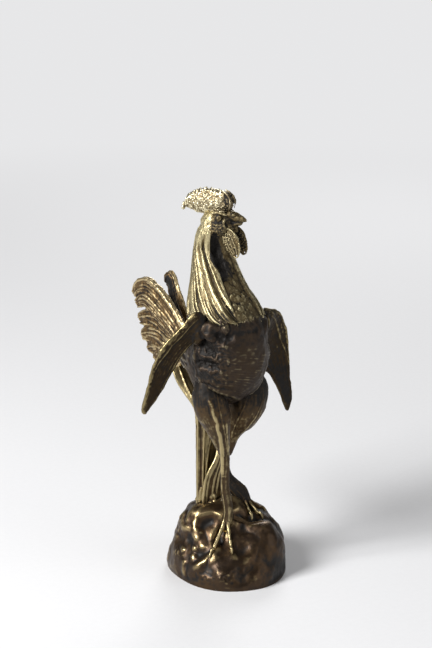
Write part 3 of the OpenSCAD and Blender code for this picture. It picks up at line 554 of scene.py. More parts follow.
def add_node(tree: NodeTree, kind: str, settings: dict, sockets: dict) -> Node:
    """Adds one node to a tree.

    Args:
        tree: The tree.
        kind: The node's type.
        settings: Its properties, set first.
        sockets: A value, a linked socket or a signal for each input, by name or number.

    Returns:
        The node.
    """
    node = tree.nodes.new(kind)
    for key, value in settings.items():
        setattr(node, key, value)
    for key, value in sockets.items():
        join(tree, node.inputs[key], value)
    return node


def join(tree: NodeTree, socket: NodeSocket, value: object) -> None:
    """Sets an input to a value, or links a socket or a signal to it.

    Args:
        tree: The tree.
        socket: The input.
        value: The value, socket or signal.
    """
    source = value.socket if isinstance(value, Signal) else value
    if isinstance(source, NodeSocket):
        tree.links.new(source, socket)
    else:
        socket.default_value = source


class Graph:
    """A geometry node tree with named inputs."""

    def __init__(self, name: str, inputs: dict) -> None:
        """Makes the tree.

        Args:
            name: The tree's name.
            inputs: For each named input, its socket type and its value.
        """
        self.tree = bpy.data.node_groups.new(name, "GeometryNodeTree")
        self.keys: dict[str, str] = {}
        face = self.tree.interface
        face.new_socket(name="Geometry", in_out="INPUT", socket_type="NodeSocketGeometry")
        for label, (kind, value) in inputs.items():
            item = face.new_socket(name=label, in_out="INPUT", socket_type=kind)
            item.default_value = value
            self.keys[label] = item.identifier
        face.new_socket(name="Geometry", in_out="OUTPUT", socket_type="NodeSocketGeometry")
        self.start = self.tree.nodes.new("NodeGroupInput").outputs
        self.end = self.tree.nodes.new("NodeGroupOutput")

    def add(self, kind: str, sockets: dict, **settings: object) -> NodeOutputs:
        """The outputs of a new node with the given inputs and properties."""
        return add_node(self.tree, kind, settings, sockets).outputs

    def attribute(self, name: str, kind: str) -> NodeSocket:
        """A named attribute of the incoming points."""
        return self.add("GeometryNodeInputNamedAttribute", {"Name": name}, data_type=kind)["Attribute"]

    def close(self, geometry: NodeSocket, finish: Material) -> "Graph":
        """Ends the tree in Realize Instances and Set Material."""
        real = self.add("GeometryNodeRealizeInstances", {"Geometry": geometry})
        dressed = self.add("GeometryNodeSetMaterial", {"Geometry": real[0], "Material": finish})
        self.tree.links.new(dressed[0], self.end.inputs[0])
        return self

    def grow(self, mesh: Mesh, values: dict) -> Shell:
        """Runs the tree on a mesh.

        Args:
            mesh: The incoming points, edges or faces.
            values: A value for each named input that isn't left as it is.

        Returns:
            The tree's result as a shell.
        """
        carrier = linked(mesh.name, mesh)
        modifier = carrier.modifiers.new("grow", "NODES")
        modifier.node_group = self.tree
        for label, value in values.items():
            modifier[self.keys[label]] = value
        return plain(carrier)


def cord_graph(finish: Material) -> Graph:
    """The tree that turns polylines with a girth into rounded cords.

    Args:
        finish: The material that the tree sets.

    Returns:
        The tree.
    """
    graph = Graph("cords", {"Sides": ("NodeSocketInt", 8), "Girth": ("NodeSocketFloat", 1.0)})
    curve = graph.add("GeometryNodeMeshToCurve", {"Mesh": graph.start["Geometry"]})[0]
    ring = graph.add("GeometryNodeCurvePrimitiveCircle", {"Resolution": graph.start["Sides"], "Radius": 1.0})
    factors = {0: graph.attribute("girth", "FLOAT"), 1: graph.start["Girth"]}
    girth = graph.add("ShaderNodeMath", factors, operation="MULTIPLY")[0]
    sockets = {"Curve": curve, "Profile Curve": ring["Curve"], "Scale": girth, "Fill Caps": True}
    return graph.close(graph.add("GeometryNodeCurveToMesh", sockets)[0], finish)


def scale_graph(finish: Material) -> Graph:
    """The tree that sets a flattened ball on each point.

    Args:
        finish: The material that the tree sets.

    Returns:
        The tree.
    """
    graph = Graph("scales", {"Segments": ("NodeSocketInt", 12), "Rings": ("NodeSocketInt", 7)})
    shape = {"Segments": graph.start["Segments"], "Rings": graph.start["Rings"], "Radius": 0.5}
    ball = graph.add("GeometryNodeMeshUVSphere", shape)["Mesh"]
    points = graph.add("GeometryNodeMeshToPoints", {"Mesh": graph.start["Geometry"]})[0]
    turn = graph.add("FunctionNodeEulerToRotation", {0: graph.attribute("turn", "FLOAT_VECTOR")})[0]
    size = graph.attribute("size", "FLOAT_VECTOR")
    sockets = {"Points": points, "Instance": ball, "Rotation": turn, "Scale": size}
    return graph.close(graph.add("GeometryNodeInstanceOnPoints", sockets)[0], finish)


def grain_graph(finish: Material) -> Graph:
    """The tree that scatters small balls over faces, for the comb and the bare skin of the face.

    Args:
        finish: The material that the tree sets.

    Returns:
        The tree.
    """
    lengths = {"Spacing": 1.0, "Smallest": 0.6, "Largest": 1.2}
    inputs = {label: ("NodeSocketFloat", size * MM) for label, size in lengths.items()}
    graph = Graph("grains", inputs | {"Seed": ("NodeSocketInt", 7)})
    start = graph.start
    spread = {
        "Mesh": start["Geometry"],
        "Distance Min": start["Spacing"],
        "Density Max": 3e6,
        "Seed": start["Seed"],
    }
    points = graph.add("GeometryNodeDistributePointsOnFaces", spread, distribute_method="POISSON")["Points"]
    ball = graph.add("GeometryNodeMeshIcoSphere", {"Radius": 0.5, "Subdivisions": 2})["Mesh"]
    sizes = {2: start["Smallest"], 3: start["Largest"], "Seed": start["Seed"]}
    size = graph.add("FunctionNodeRandomValue", sizes, data_type="FLOAT")[1]
    placed = graph.add("GeometryNodeInstanceOnPoints", {"Points": points, "Instance": ball, "Scale": size})[0]
    both = graph.tree.nodes.new("GeometryNodeJoinGeometry")
    for part in (start["Geometry"], placed):
        graph.tree.links.new(part, both.inputs[0])
    return graph.close(both.outputs[0], finish)


class Coat(NamedTuple):
    """A material and the name of one of the record's slots."""

    material: Material
    slot: Slot


class Workshop:
    """The tools that every sub-assembly shares."""

    def __init__(self, finish: Material) -> None:
        """Builds the node trees."""
        self.cord_tree = cord_graph(finish)
        self.scale_tree = scale_graph(finish)
        self.grain_tree = grain_graph(finish)

    def cords(self, paths: Sequence[Rows], girths: Sequence[Rows], sides: int = 8) -> Shell:
        """Rounded cords: hackle strands, quills, barbs and folds.

        Args:
            paths: Points of each cord.
            girths: Radius at each of those points.
            sides: Points round a cord.

        Returns:
            All the cords as one shell.
        """
        points = np.vstack(paths)
        ends = np.cumsum([len(p) for p in paths])
        first = np.setdiff1d(np.arange(len(points) - 1), ends[:-1] - 1)
        mesh = bare_mesh("cords", points)
        mesh.edges.add(len(first))
        mesh.edges.foreach_set("vertices", np.stack([first, first + 1], 1).astype(np.int32).ravel())
        mesh = with_attributes(mesh, {"girth": np.concatenate(girths) * MM})
        return self.cord_tree.grow(mesh, {"Sides": sides})

    def scales(self, at: Rows, out: Rows, down: Rows, size: Rows, lift: float) -> Shell:
        """Small overlapping feathers.

        Args:
            at: Their places.
            out: Direction away from the surface at each one.
            down: Direction in which each one points.
            size: Full width, length and height of each one.
            lift: Tilt of the tip away from the surface, in degrees.

        Returns:
            All of them as one shell.
        """
        side = unit(np.cross(down, out))
        down = np.cross(out, side)
        c, s = math.cos(math.radians(lift)), math.sin(math.radians(lift))
        along, up = down * c + out * s, out * c - down * s
        turns = [Matrix(np.stack([a, b, u], 1).tolist()).to_euler() for a, b, u in zip(side, along, up)]
        values = {"turn": np.array(turns), "size": np.asarray(size) * MM}
        return self.scale_tree.grow(with_attributes(bare_mesh("scales", at), values), {})

    def grains(self, form: Shell, spacing: float, smallest: float, largest: float, seed: int) -> Shell:
        """The form with grains all over it.

        Args:
            form: The form to cover.
            spacing: Least distance between two grains.
            smallest: Smallest grain.
            largest: Largest grain.
            seed: Which scatter.

        Returns:
            The form and its grains as one shell.
        """
        sizes = {"Spacing": spacing * MM, "Smallest": smallest * MM, "Largest": largest * MM, "Seed": seed}
        return self.grain_tree.grow(form.mesh("grains"), sizes)

    def finish(
        self, skin: Shell, name: str, node: str, coat: Coat, wear_and_painted_light: Rows, flow: Optional[Rows] = None
    ) -> None:
        """Makes a casting's object and ties it to the frame.

        Args:
            skin: The casting's final skin.
            name: The piece's name, without the word casting.
            node: The solid that it stands for.
            coat: Its material; the coat's slot is not used here.
            wear_and_painted_light: How much brighter, or below zero darker, each point is coloured: rubbed
                wear, and also painted highlights and painted shade where light and shade fall on the figure.
            flow: Places in millimetres, squeezed along the strands, that the streaks follow.
        """
        name = f"{name}_casting"
        flow = skin.points if flow is None else flow
        # The relief attribute holds the relief with rubbed wear, painted highlights and painted shade added
        # to it.
        mesh = with_attributes(skin.mesh(name), {"relief": relief(skin) + wear_and_painted_light, "flow": flow})
        mesh.polygons.foreach_set("use_smooth", np.ones(len(mesh.polygons), bool))
        mesh.materials.append(coat.material)
        piece = linked(name, mesh)
        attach(piece, "root")
        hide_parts(node)
        low, high = skin.points.min(0), skin.points.max(0)
        log.info("%s: %d faces, %s to %s mm", name, len(skin.counts), low.round(1), high.round(1))


def tint(code: str) -> tuple[float, float, float, float]:
    """A colour written as six hexadecimal digits, as the linear values that shaders use."""
    parts = [int(code[i : i + 2], 16) / 255 for i in (0, 2, 4)]
    return (*[c / 12.92 if c <= 0.04045 else ((c + 0.055) / 1.055) ** 2.4 for c in parts], 1.0)


class Bench:
    """A material being built from nodes."""

    def __init__(self, name: str) -> None:
        """Starts a material with one Principled shader."""
        self.material = bpy.data.materials.new(name)
        self.material.use_nodes = True
        self.tree = self.material.node_tree
        self.shader = self.tree.nodes["Principled BSDF"]

    def add(self, kind: str, settings: dict, sockets: dict, output: object = 0) -> Signal:
        """The chosen output of a new node."""
        return Signal(self, add_node(self.tree, kind, settings, sockets).outputs[output])

    def shade(self, values: dict) -> None:
        """Gives the Principled shader its inputs."""
        for key, value in values.items():
            join(self.tree, self.shader.inputs[key], value)

    def place(self) -> Signal:
        """The object's own coordinates."""
        return self.add("ShaderNodeTexCoord", {}, {}, "Object")

    def noise(
        self, width: float, detail: float = 3.0, seed: float = 0.0, place: Optional[Signal] = None
    ) -> Signal:
        """Noise from 0 to 1 with lumps of the given width in millimetres."""
        scale = 1 / (width * (1 if place else MM))
        sockets = {"Vector": place or self.place(), "W": seed, "Scale": scale}
        sockets |= {"Detail": detail, "Roughness": 0.6}
        return self.add("ShaderNodeTexNoise", {"noise_dimensions": "4D"}, sockets, "Fac")

    def blend(self, factor: object, a: object, b: object) -> Signal:
        """A mix of two colours."""
        settings = {"data_type": "RGBA", "clamp_factor": True}
        return self.add("ShaderNodeMix", settings, {0: factor, 6: a, 7: b}, 2)

    def bump(self, strength: float, depth: float, height: Signal) -> Signal:
        """A normal bent by a height; depth is in millimetres."""
        sockets = {"Strength": strength, "Distance": depth * MM, "Height": height}
        return self.add("ShaderNodeBump", {}, sockets)


@dataclass(frozen=True)
class Bronze:
    """Antique bronze: dark in the grooves, brown on the flats and rubbed bright on the ridges; the same
    colours also paint the highlights and shade that the casting's relief attribute carries.
    """

    name: str
    slot: Slot
    flat: str
    warm: str
    rubbed: str
    wear: float
    smooth: float = 0.34
    dull: float = 0.52
    pitting: float = 0.35
    streaky: float = 0.3
    groove: str = "120d08"

    def make(self) -> Coat:
        """Builds the finish; relief, with its painted light and painted shade, is read from the casting's own
        attribute.

        Returns:
            The material and its slot.
        """
        bench = Bench(self.name)
        proud = bench.add("ShaderNodeAttribute", {"attribute_name": "relief"}, {}, "Fac")
        broad, middle, fine = bench.noise(14, 2, 1.0), bench.noise(3.2, 4, 2.0), bench.noise(0.7, 3, 3.0)
        flow = bench.add("ShaderNodeAttribute", {"attribute_name": "flow"}, {}, "Vector")
        streak = bench.noise(0.9, 3, 5.0, flow)
        level = proud + (middle - 0.5) * 0.16 + (fine - 0.5) * 0.1 + self.wear
        level += (streak - 0.5) * self.streaky
        # Rubbed colour on ridges and on painted highlights where the attribute is high; patina and painted
        # shade in the groove colour where it is low.
        wear_and_painted_highlight = level.step(0.52, 0.9)
        sunk = 1 - level.step(0.12, 0.44)
        ground = bench.blend((broad * 0.6 + middle * 0.6).step(0.45, 0.8), tint(self.flat), tint(self.warm))
        colour = bench.blend(sunk, ground, tint(self.groove))
        heights = fine * 0.5 + bench.noise(0.28, 2, 4.0) * 0.3 + middle * 0.5 + streak * 3.2 * self.streaky
        rough = self.dull - (self.dull - self.smooth) * wear_and_painted_highlight + (middle - 0.5) * 0.2 + sunk * 0.1
        bench.shade(
            {
                "Base Color": bench.blend(wear_and_painted_highlight, colour, tint(self.rubbed)),
                "Metallic": 0.92 - sunk * 0.45,
                "Roughness": rough,
                "Normal": bench.bump(self.pitting, 0.22, heights),
            }
        )
        return Coat(bench.material, self.slot)


@dataclass(frozen=True)
class Turned:
    """Plain turned metal of the hidden pins, studs, washers and nuts."""

    name: str
    bright: str
    dark: str
    rough: float

    def make(self) -> Material:
        """Builds the finish: fine turning marks and a little tarnish.

        Returns:
            The material.
        """
        bench = Bench(self.name)
        stain = bench.noise(1.8, 4, 1.0).step(0.45, 0.75)
        bench.shade(
            {
                "Base Color": bench.blend(stain, tint(self.bright), tint(self.dark)),
                "Roughness": self.rough + stain * 0.25,
                "Metallic": 1.0,
                "Normal": bench.bump(0.2, 0.05, bench.noise(0.3, 2, 2.0)),
            }
        )
        return bench.material


# Sub-assemblies


@dataclass
class Casting:
    """What every sub-assembly needs to make its pieces."""

    shop: Workshop
    coat: Coat


@dataclass
class RockBase(Casting):
    """Hollow rock with its boulders, folds and hollows."""

    width: float = 59
    depth: float = 66
    height: float = 36
    wall: float = 4
    voxel: float = 0.42
    rows: tuple = (
        (0, 0, 0, 1, 1), (0.14, 0, 0, 1, 1), (0.36, 0.06, 0.06, 0.965, 0.93), (0.56, 0.11, 0.17, 0.91, 0.8),
        (0.78, 0.1, 0.24, 0.77, 0.66), (0.92, -0.03, 0.22, 0.59, 0.5), (1, -0.05, 0.16, 0.38, 0.3),
    )
    boulders: tuple = (
        ((0.3, -0.46, 0.34), (1, 0.8, 0.86)), ((-0.56, -0.62, 0.16), (0.52, 0.46, 0.42)),
        ((-0.78, 0.12, 0.22), (0.34, 0.6, 0.52)), ((0.3, 0.76, 0.34), (0.9, 0.42, 0.66)),
        ((-0.62, 0.02, 0.62), (0.34, 0.36, 0.34)),
    )

    def row(self, t: Rows, lift: float = 0) -> Rows:
        """Rows of [height, middle x, middle y, half width, half depth] at shares of the way up."""
        half = [self.height + lift, self.width / 2, self.depth / 2, self.width / 2, self.depth / 2]
        return spline(self.rows, t) * half

    def ripple(self, angle: Rows, t: Rows) -> Rows:
        """Gentle bulges round the rock."""
        three, five = np.radians(3 * angle + 220 * t), np.radians(5 * angle - 330 * t + 60)
        return self.width * 0.012 * (np.cos(three) + np.cos(five) / 2 - t)

    def top(self, x: float, y: float) -> float:
        """Height of the ground over a place, boulders included.

        Args:
            x: The place, across.
            y: The place, back.

        Returns:
            The height.
        """
        low, high = 0.0, 1.0
        for _ in range(14):
            t = (low + high) / 2
            row = self.row(np.array([t]))[0]
            vx, vy = x - row[1], y - row[2]
            r = float(self.ripple(np.degrees(math.atan2(vy / row[4], vx / row[3])), t))
            outside = math.hypot(vx / (row[3] + r), vy / (row[4] + r)) > 1
            low, high = (low, t) if outside else (t, high)
        best = self.row(np.array([low]))[0][0]
        for at, size in self.boulders:
            w, d, h = size[0] * self.width / 4, size[1] * self.depth / 4, size[2] * self.height / 2
            left = 1 - ((x - at[0] * self.width / 2) / w) ** 2 - ((y - at[1] * self.depth / 2) / d) ** 2
            if left > 0:
                best = max(best, at[2] * self.height + h * math.sqrt(left))
        return best

    def stand(self, share: tuple) -> Rows:
        """Place on the ground at shares of the half width and half depth."""
        x, y = share[0] * self.width / 2, share[1] * self.depth / 2
        return np.array([x, y, self.top(x, y)])

    def folds(self, p: Rows) -> Rows:
        """Height of the raised folds and knobs, mostly on the bird's right.

        Args:
            p: Points of the skin.

        Returns:
            The height at each point.
        """
        routes = (
            (((-19, 15, 27), (-22.3, 8, 25.2), (-23.2, 0.8, 24.3), (-21.2, -4.4, 21.8), (-19.2, -10.4, 19.4)),
             2, 1.7),
            (((-19.6, -13.4, 18), (-23, -12.6, 13.6), (-26.3, -9.6, 8.6), (-27.6, -6, 5)), 1.7, 1.6),
            (((-24.8, 1.2, 17), (-26.6, 0.4, 12.4), (-28, -0.8, 6.4), (-28.4, -2.5, 2.6)), 1.5, 1.5),
            (((0.5, -15.2, 26.6), (4.6, -17.6, 26.8), (10.6, -17.8, 27.2), (18, -12.4, 25.8)), 2.4, 1.6),
            (((-13.2, 9.2, 34.2), (-17.5, 6.4, 31.2), (-21.6, 5, 26.6)), 2.2, 1.5),
            (((-15.4, 2.4, 32.4), (-18.6, 2.2, 29.6), (-21, 1.2, 26.6)), 1.2, 0.8),
            (((6.6, -6.2, 34), (10.4, -9.6, 31.6), (16.6, -12.4, 27.4), (22.4, -11.6, 22.4)), 2.4, 1.5),
            (((24.6, -6, 22), (26.2, -10, 15), (25.4, -13.4, 8)), 2.8, 1.4),
            (((-8.8, -7.9, 34.7), (-13.8, -8.8, 25.3), (-18.6, -14.4, 19.6), (-21.4, -16.4, 13)), 2.4, 1.4),
            (((-8.3, -10.7, 35.5), (-9.5, -14.1, 26), (-10.3, -18.8, 20.7), (-10.6, -22.6, 14)), 2.2, 1.2),
            (((2, 3, 36), (4, 0, 36), (5, -3, 35.4)), 4.5, 2.4),
            (((-2, -20, 22), (-6, -25, 15), (-14, -25, 8)), 3.4, 1.2),
            (((8, -27, 20), (2, -30, 10), (-6, -30, 4)), 3.6, 1.1),
            (((18, 14, 26), (24, 18, 16), (26, 20, 6)), 3.2, 1.6),
            (((-8, 26, 26), (-14, 29, 14), (-16, 29, 5)), 3.2, 1.6),
            (((6, 28, 24), (10, 32, 12), (8, 32, 4)), 3.2, 1.5),
            (((-18, 19, 27), (-22, 21, 16), (-23, 20, 6)), 2.8, 1.6),
        )
        knobs = (
            (-20.6, -4.4, 24.2, 1.5), (-23.6, -4, 17.4, 1.6), (-21.6, -8.6, 19.2, 1.2), (-25.4, 3, 15, 1.4),
            (-26.6, 0.6, 10.4, 1.2), (-25.6, -5.4, 12.6, 1.4), (20.4, -10.6, 24.6, 2.6),
            (12.8, -16.4, 26.8, 2), (-18.4, 13.4, 28.6, 2.2), (-14.6, 9.6, 33.6, 1.8),
        )
        high = np.zeros(len(p))
        bent = p + 1.1 * np.stack([clay(p, 5, seed) for seed in (17, 18, 19)], 1)
        uneven = 0.92 + 0.38 * clay(p, 3.6, 20)
        for route, reach, height in routes:
            high = np.maximum(high, swell(bent, route, 1.45 * reach, 0.92 * height) * uneven)
        for *at, reach in knobs:
            high = np.maximum(high, dent(bent, at, 1.25 * reach, 0.7 + 0.3 * reach))
        return high

    def worked(self, skin: Shell) -> Shell:
        """The skin with its broad swellings, and the hollows pressed in by the modeller's thumb.

        Args:
            skin: The fused skin.

        Returns:
            The worked skin.
        """
        p = skin.points
        hollows = (
            (-23.4, 3.6, 20.8, 3.8, 2), (-16.4, -3, 28.8, 4.2, 2.2), (-12.8, -4.4, 31, 3.2, 1.6),
            (-27, -0.6, 12, 2.4, 1.3), (-13.4, -12.4, 22.6, 3.4, 2.4), (-11.4, -11.2, 27.4, 2.6, 1.8),
            (0.6, -10.6, 31.2, 3.2, 1.8), (0.2, -13.8, 26.6, 2.6, 1.2), (-23.6, -8, 15.4, 3, 1.6),
            (-24.4, 9, 18.6, 4, 1.8), (7.4, -13.4, 29, 2.6, 1.3), (15.6, 8, 30, 5, 1.6),
            (-8, 22, 27, 5, 1.8), (24, 12, 16, 5, 1.6), (-20, 22, 14, 5, 1.8),
        )
        calm = 1 - 0.5 * ease(p[:, 0] * 0.7 - p[:, 1] * 0.5, 6, 20) * ease(-p[:, 2], -28, -18)
        rough = ease(clay(p, 7, 15), 0.15, 0.5) * ease(-p[:, 0], 8, 18)
        push = clays(p, (1.3, 11, 11), (0.75, 5.6, 12)) * calm - 0.5
        push += clays(p, (0.17, 2.6, 13), (0.05, 1.1, 14))
        push += 0.3 * rough * clay(p, 1.5, 16)
        for *at, reach, depth in hollows:
            push -= dent(p, at, reach, depth)
        return skin.pushed((np.minimum(push, 0.3) + self.folds(p)) * ease(p[:, 2], 0.2, 3), 2, 0.4)

    def build(self) -> None:
        """The rock casting: its top worked over, then cut flat below and hollowed."""
        half = np.array([self.width / 2, self.depth / 2, self.height])
        flat = np.array([0, 1, 1, 1, 1])
        rows = self.row(np.linspace(0, 1, 48))
        shells = [upright(np.vstack([rows[:1] * flat - [4, 0, 0, 0, 0], rows]), 120, self.ripple)]
        shells += [lump(np.array(at) * half, np.array(size) * half) for at, size in self.boulders]
        skin = cast(shells, self.voxel)
        skin = self.worked(skin.moved(skin.eased(150)))
        box = [[x, y, z] for z in (-9, 0) for x, y in ((-60, -60), (60, -60), (60, 60), (-60, 60))]
        faces = [(3, 2, 1, 0), (4, 5, 6, 7), (0, 1, 5, 4), (1, 2, 6, 5), (2, 3, 7, 6), (3, 0, 4, 7)]
        inner = self.row(np.linspace(0, 0.93, 24), -self.wall)
        inner = np.vstack([inner[:1] * flat - [2, 0, 0, 0, 0], inner])
        skin = hollowed(hollowed(skin, Shell.of(box, faces)), upright(inner, 72, grow=-self.wall - 0.6))
        x, y, z = skin.points.T
        # Painted shade on the side turned from the key light, towards the bird's left front; also darker near
        # the bottom of the front.
        wear_and_painted_light = -0.2 * ease(0.8 * x - 0.2 * y, 2, 12) * ease(-y, -6, 4)
        wear_and_painted_light -= 0.14 * (1 - ease(z, 6, 16)) * ease(-y, -4, 6)
        self.shop.finish(skin, "rock", "rock_base", self.coat, wear_and_painted_light)


@dataclass
class Torso(Casting):
    """Breast, back and rump."""

    belly: float = 89
    height: float = 46
    width: float = 40
    depth: float = 43
    rump: float = 31
    voxel: float = 0.36
    rows: tuple = (
        (0, 0.16, 0.22, 0.24), (0.06, 0.14, 0.48, 0.5), (0.18, 0.1, 0.74, 0.78), (0.35, 0.04, 0.92, 0.95),
        (0.54, -0.01, 1, 1), (0.72, -0.02, 0.985, 0.985), (0.88, 0.02, 0.95, 0.95), (1, 0.09, 0.9, 0.91),
    )
    rump_rows: tuple = (
        (0, 0.46, 0.88, 0.8), (0.35, 0.47, 0.84, 0.72), (0.72, 0.5, 0.66, 0.52), (1, 0.54, 0.36, 0.3),
    )

    def row(self, t: Rows) -> Rows:
        """Rows of [height, middle x, middle y, half width, half depth]."""
        s, half = spline(self.rows, t), self.depth / 2
        columns = [self.belly + s[:, 0] * self.height, 0 * s[:, 0], s[:, 1] * half]
        return np.stack([*columns, s[:, 2] * self.width / 2, s[:, 3] * half], 1)

    def at(self, t: Rows, angle: Rows, lift: float) -> tuple[Rows, Rows]:
        """Places on the skin and the directions away from it.

        Args:
            t: Shares of the way up.
            angle: Angles in degrees; -90 is the breast and 0 the bird's left.
            lift: How far outside the skin.

        Returns:
            The places and the unit directions.
        """
        row, (c, s) = self.row(t), polar(angle)
        place = np.stack([row[:, 1] + row[:, 3] * c, row[:, 2] + row[:, 4] * s, row[:, 0]], 1)
        wider = self.row(np.minimum(t + 0.01, 1))[:, 3] - self.row(np.maximum(t - 0.01, 0))[:, 3]
        slope = wider / (0.02 * self.height)
        out = unit(np.stack([c / row[:, 3], s / row[:, 4], -slope / row[:, 3]], 1))
        return place + out * lift, out

    def folds(self, p: Rows) -> Rows:
        """Height of the folds beside the breast and under it, and of the arch of each shoulder.

        Args:
            p: Points of the skin.

        Returns:
            The height at each point.
        """
        routes = (
            (((-21.2, -3, 130.5), (-18.8, -6.6, 132.8), (-15.2, -10.6, 133.2), (-12.4, -13.4, 131.6)), 1.5),
            (((-20, -2.6, 120.2), (-18.9, -7, 118.2), (-17, -11.2, 118.8), (-15.6, -13.4, 117.2)), 0.6),
            (((-20.2, -0.6, 117), (-19.2, -5, 117.2), (-17.6, -9.6, 116.6)), 0.4),
            (((-20.2, 0.6, 109.4), (-19, -5.6, 111.8), (-17.2, -10.6, 111), (-15.2, -13.4, 112.8)), 0.9),
            (((-16.6, -12.2, 122.6), (-15.7, -13.4, 118.6), (-15, -14.4, 113.2), (-13, -15, 108.4)), 0.8),
            (((-19.6, 1, 102.6), (-18.2, -5.4, 101.2), (-13.8, -10.6, 99.6), (-7.6, -12.8, 96.4),
              (0.5, -11, 93.4)), 1.4),
            (((-20.4, 2.6, 128.4), (-20.8, 0.4, 122.4), (-20.4, -0.6, 115.4)), 1.6),
            (((-20.6, 2, 108), (-19.4, -2.6, 105.6), (-17, -7, 105.2), (-14, -11.2, 103.2)), 0.9),
            (((-14.8, -12.6, 126.4), (-13.4, -15, 125.4), (-10.6, -17.8, 124.8)), 0.9),
            (((19.4, -3, 130.5), (18, -6.6, 132.4), (14.6, -11.6, 132.4), (11.8, -14.6, 128.8)), 1.7),
            (((19.6, -2.6, 119.6), (18.4, -7.6, 117.6), (15.6, -12.4, 115)), 1.4),
            (((19.4, 1, 103.6), (17.2, -5.8, 101.4), (12, -11, 98.4), (5.6, -12.6, 95)), 1.6),
        )
        high = np.zeros(len(p))
        for route, girth in routes:
            wavy = np.array(route) + 0.9 * clay(np.array(route), 5, 37)[:, None]
            high = np.maximum(high, swell(p, wavy, 0.5 + 0.95 * girth, 0.9 * girth))
        return high

    def plumage(self) -> list[Shell]:
        """Scale feathers on the upper breast, and long saddle feathers on the back and rump.

        Returns:
            The feathers and the saddle's strands.
        """
        rng = np.random.default_rng(21)
        spots = []
        for k, t in enumerate(np.linspace(0.98, 0.3, 19)):
            for a in np.arange(-172 + 5 * (k % 2), 4, 10.0):
                place = t + rng.uniform(-0.014, 0.014)
                if t >= 0.84 or not -136 < a < -36:
                    spot = place, a + rng.uniform(-3, 3)
                    spots.append((*spot, *(rng.uniform(0.6, 1.2) * np.array([3.2, 5.4, 0.6]))))
        for k, t in enumerate(np.linspace(0.92, 0.26, 24)):
            for a in np.arange(-178 + 2.5 * (k % 2), -122, 5.0):
                if a < -148 + rng.uniform(0, 26):
                    spot = t + rng.uniform(-0.01, 0.01), a + rng.uniform(-2, 2)
                    spots.append((*spot, *(rng.uniform(0.6, 1.3) * np.array([1.5, 3.6, 0.9]))))
        for k, t in enumerate(np.linspace(0.98, 0.3, 13)):
            spots += [(t, a, 4.8, 6.5, 1.1) for a in np.arange(18 + 6 * (k % 2), 166, 12.0)]
        spots = np.array(spots)
        place, out = self.at(spots[:, 0], spots[:, 1], -0.2)
        down = np.broadcast_to([0.0, 0.0, -1.0], out.shape) + rng.uniform(-0.3, 0.3, out.shape)
        feathers = self.shop.scales(place, out, unit(down), spots[:, 2:], 8)
        paths, girths = [], []
        for a in np.arange(-14, 196, 9.0):
            for start in (0.02, 0.42):
                s = np.linspace(start, min(1, start + 0.62), 14)
                centre = spline(self.rump_rows, s)
                turn = np.radians(a + rng.uniform(-2, 2) + 7 * np.sin(s * 4 + a))
                wide, high = centre[:, 2] * self.width / 2, centre[:, 3] * self.height / 2
                z = self.belly + centre[:, 1] * self.height + high * np.sin(turn)
                paths.append(np.stack([wide * np.cos(turn), centre[:, 0] * self.rump, z], 1))
                girths.append(1.25 * arc(14, 0.15, 0.97, 0.5) * (1 - 0.35 * s))
        return [feathers, self.shop.cords(paths, girths)]

    def worked(self, skin: Shell) -> Shell:
        """The skin with its hollows, chased lines and a slight unevenness.

        Args:
            skin: The fused skin.

        Returns:
            The worked skin.
        """
        p = skin.points
        flank = glow(p, (-18, -8, 118), (8, 9, 15))
        push = clays(p, (0.4, 6, 31), (0.2 + 0.6 * flank, 2.4, 32), (0.08 + 0.26 * flank, 1.3, 33))
        push += self.folds(p)
        for route, reach, depth in (
            (((-20, -2.6, 114.6), (-18.6, -8, 115.2), (-16.4, -12.2, 114.4)), 1.9, 3),
            (((-19.6, -5, 126.8), (-18.6, -8.4, 122.6), (-17.2, -11.2, 121)), 2.6, 2.2),
            (((-15.4, -11.4, 130), (-13.4, -13.6, 128.8), (-10.4, -16.4, 128.4)), 1.7, 1.6),
            (((-18, -5, 98.6), (-12.6, -10.6, 96.4), (-6, -11.8, 93.4)), 2.2, 1.8),
            (((-8, -17.4, 130.6), (-3, -19, 130.4), (4, -19, 131)), 1.5, 0.7),
            (((19.8, -3.4, 125.6), (18.2, -8.4, 122.4), (15.4, -12.6, 120.6)), 2.4, 1.6),
            (((17, -6, 98.6), (11.6, -10.4, 95.6), (5, -11.6, 92.6)), 2, 1.4),
        ):
            push -= slot_dent(p, route, reach, depth)
        x, y, z = p.T
        angle = np.degrees(np.arctan2(y, x))
        breast = ease(z, 94, 102) * (1 - ease(z, 119, 126)) * (1 - ease(np.abs(angle + 84), 44, 60))
        lines = np.sin(2 * math.pi * (z * 0.9 + 0.22 * x + 0.9 * clay(p, 9, 34)) / 1.35)
        push += 0.07 * breast * lines * ease(clay(p * [0.3, 0.3, 1.2], 1.5, 35), -0.3, 0.5)
        side = glow(p, (-15, -12, 119), (7, 8, 10))
        plumed = np.sin(2 * math.pi * (z + 2.2 * clay(p, 4.5, 38) - 0.12 * angle) / 2.5)
        push += 0.34 * side * plumed * (0.6 + 0.4 * clay(p, 3, 39))
        return skin.pushed(push, 1, 0.35)

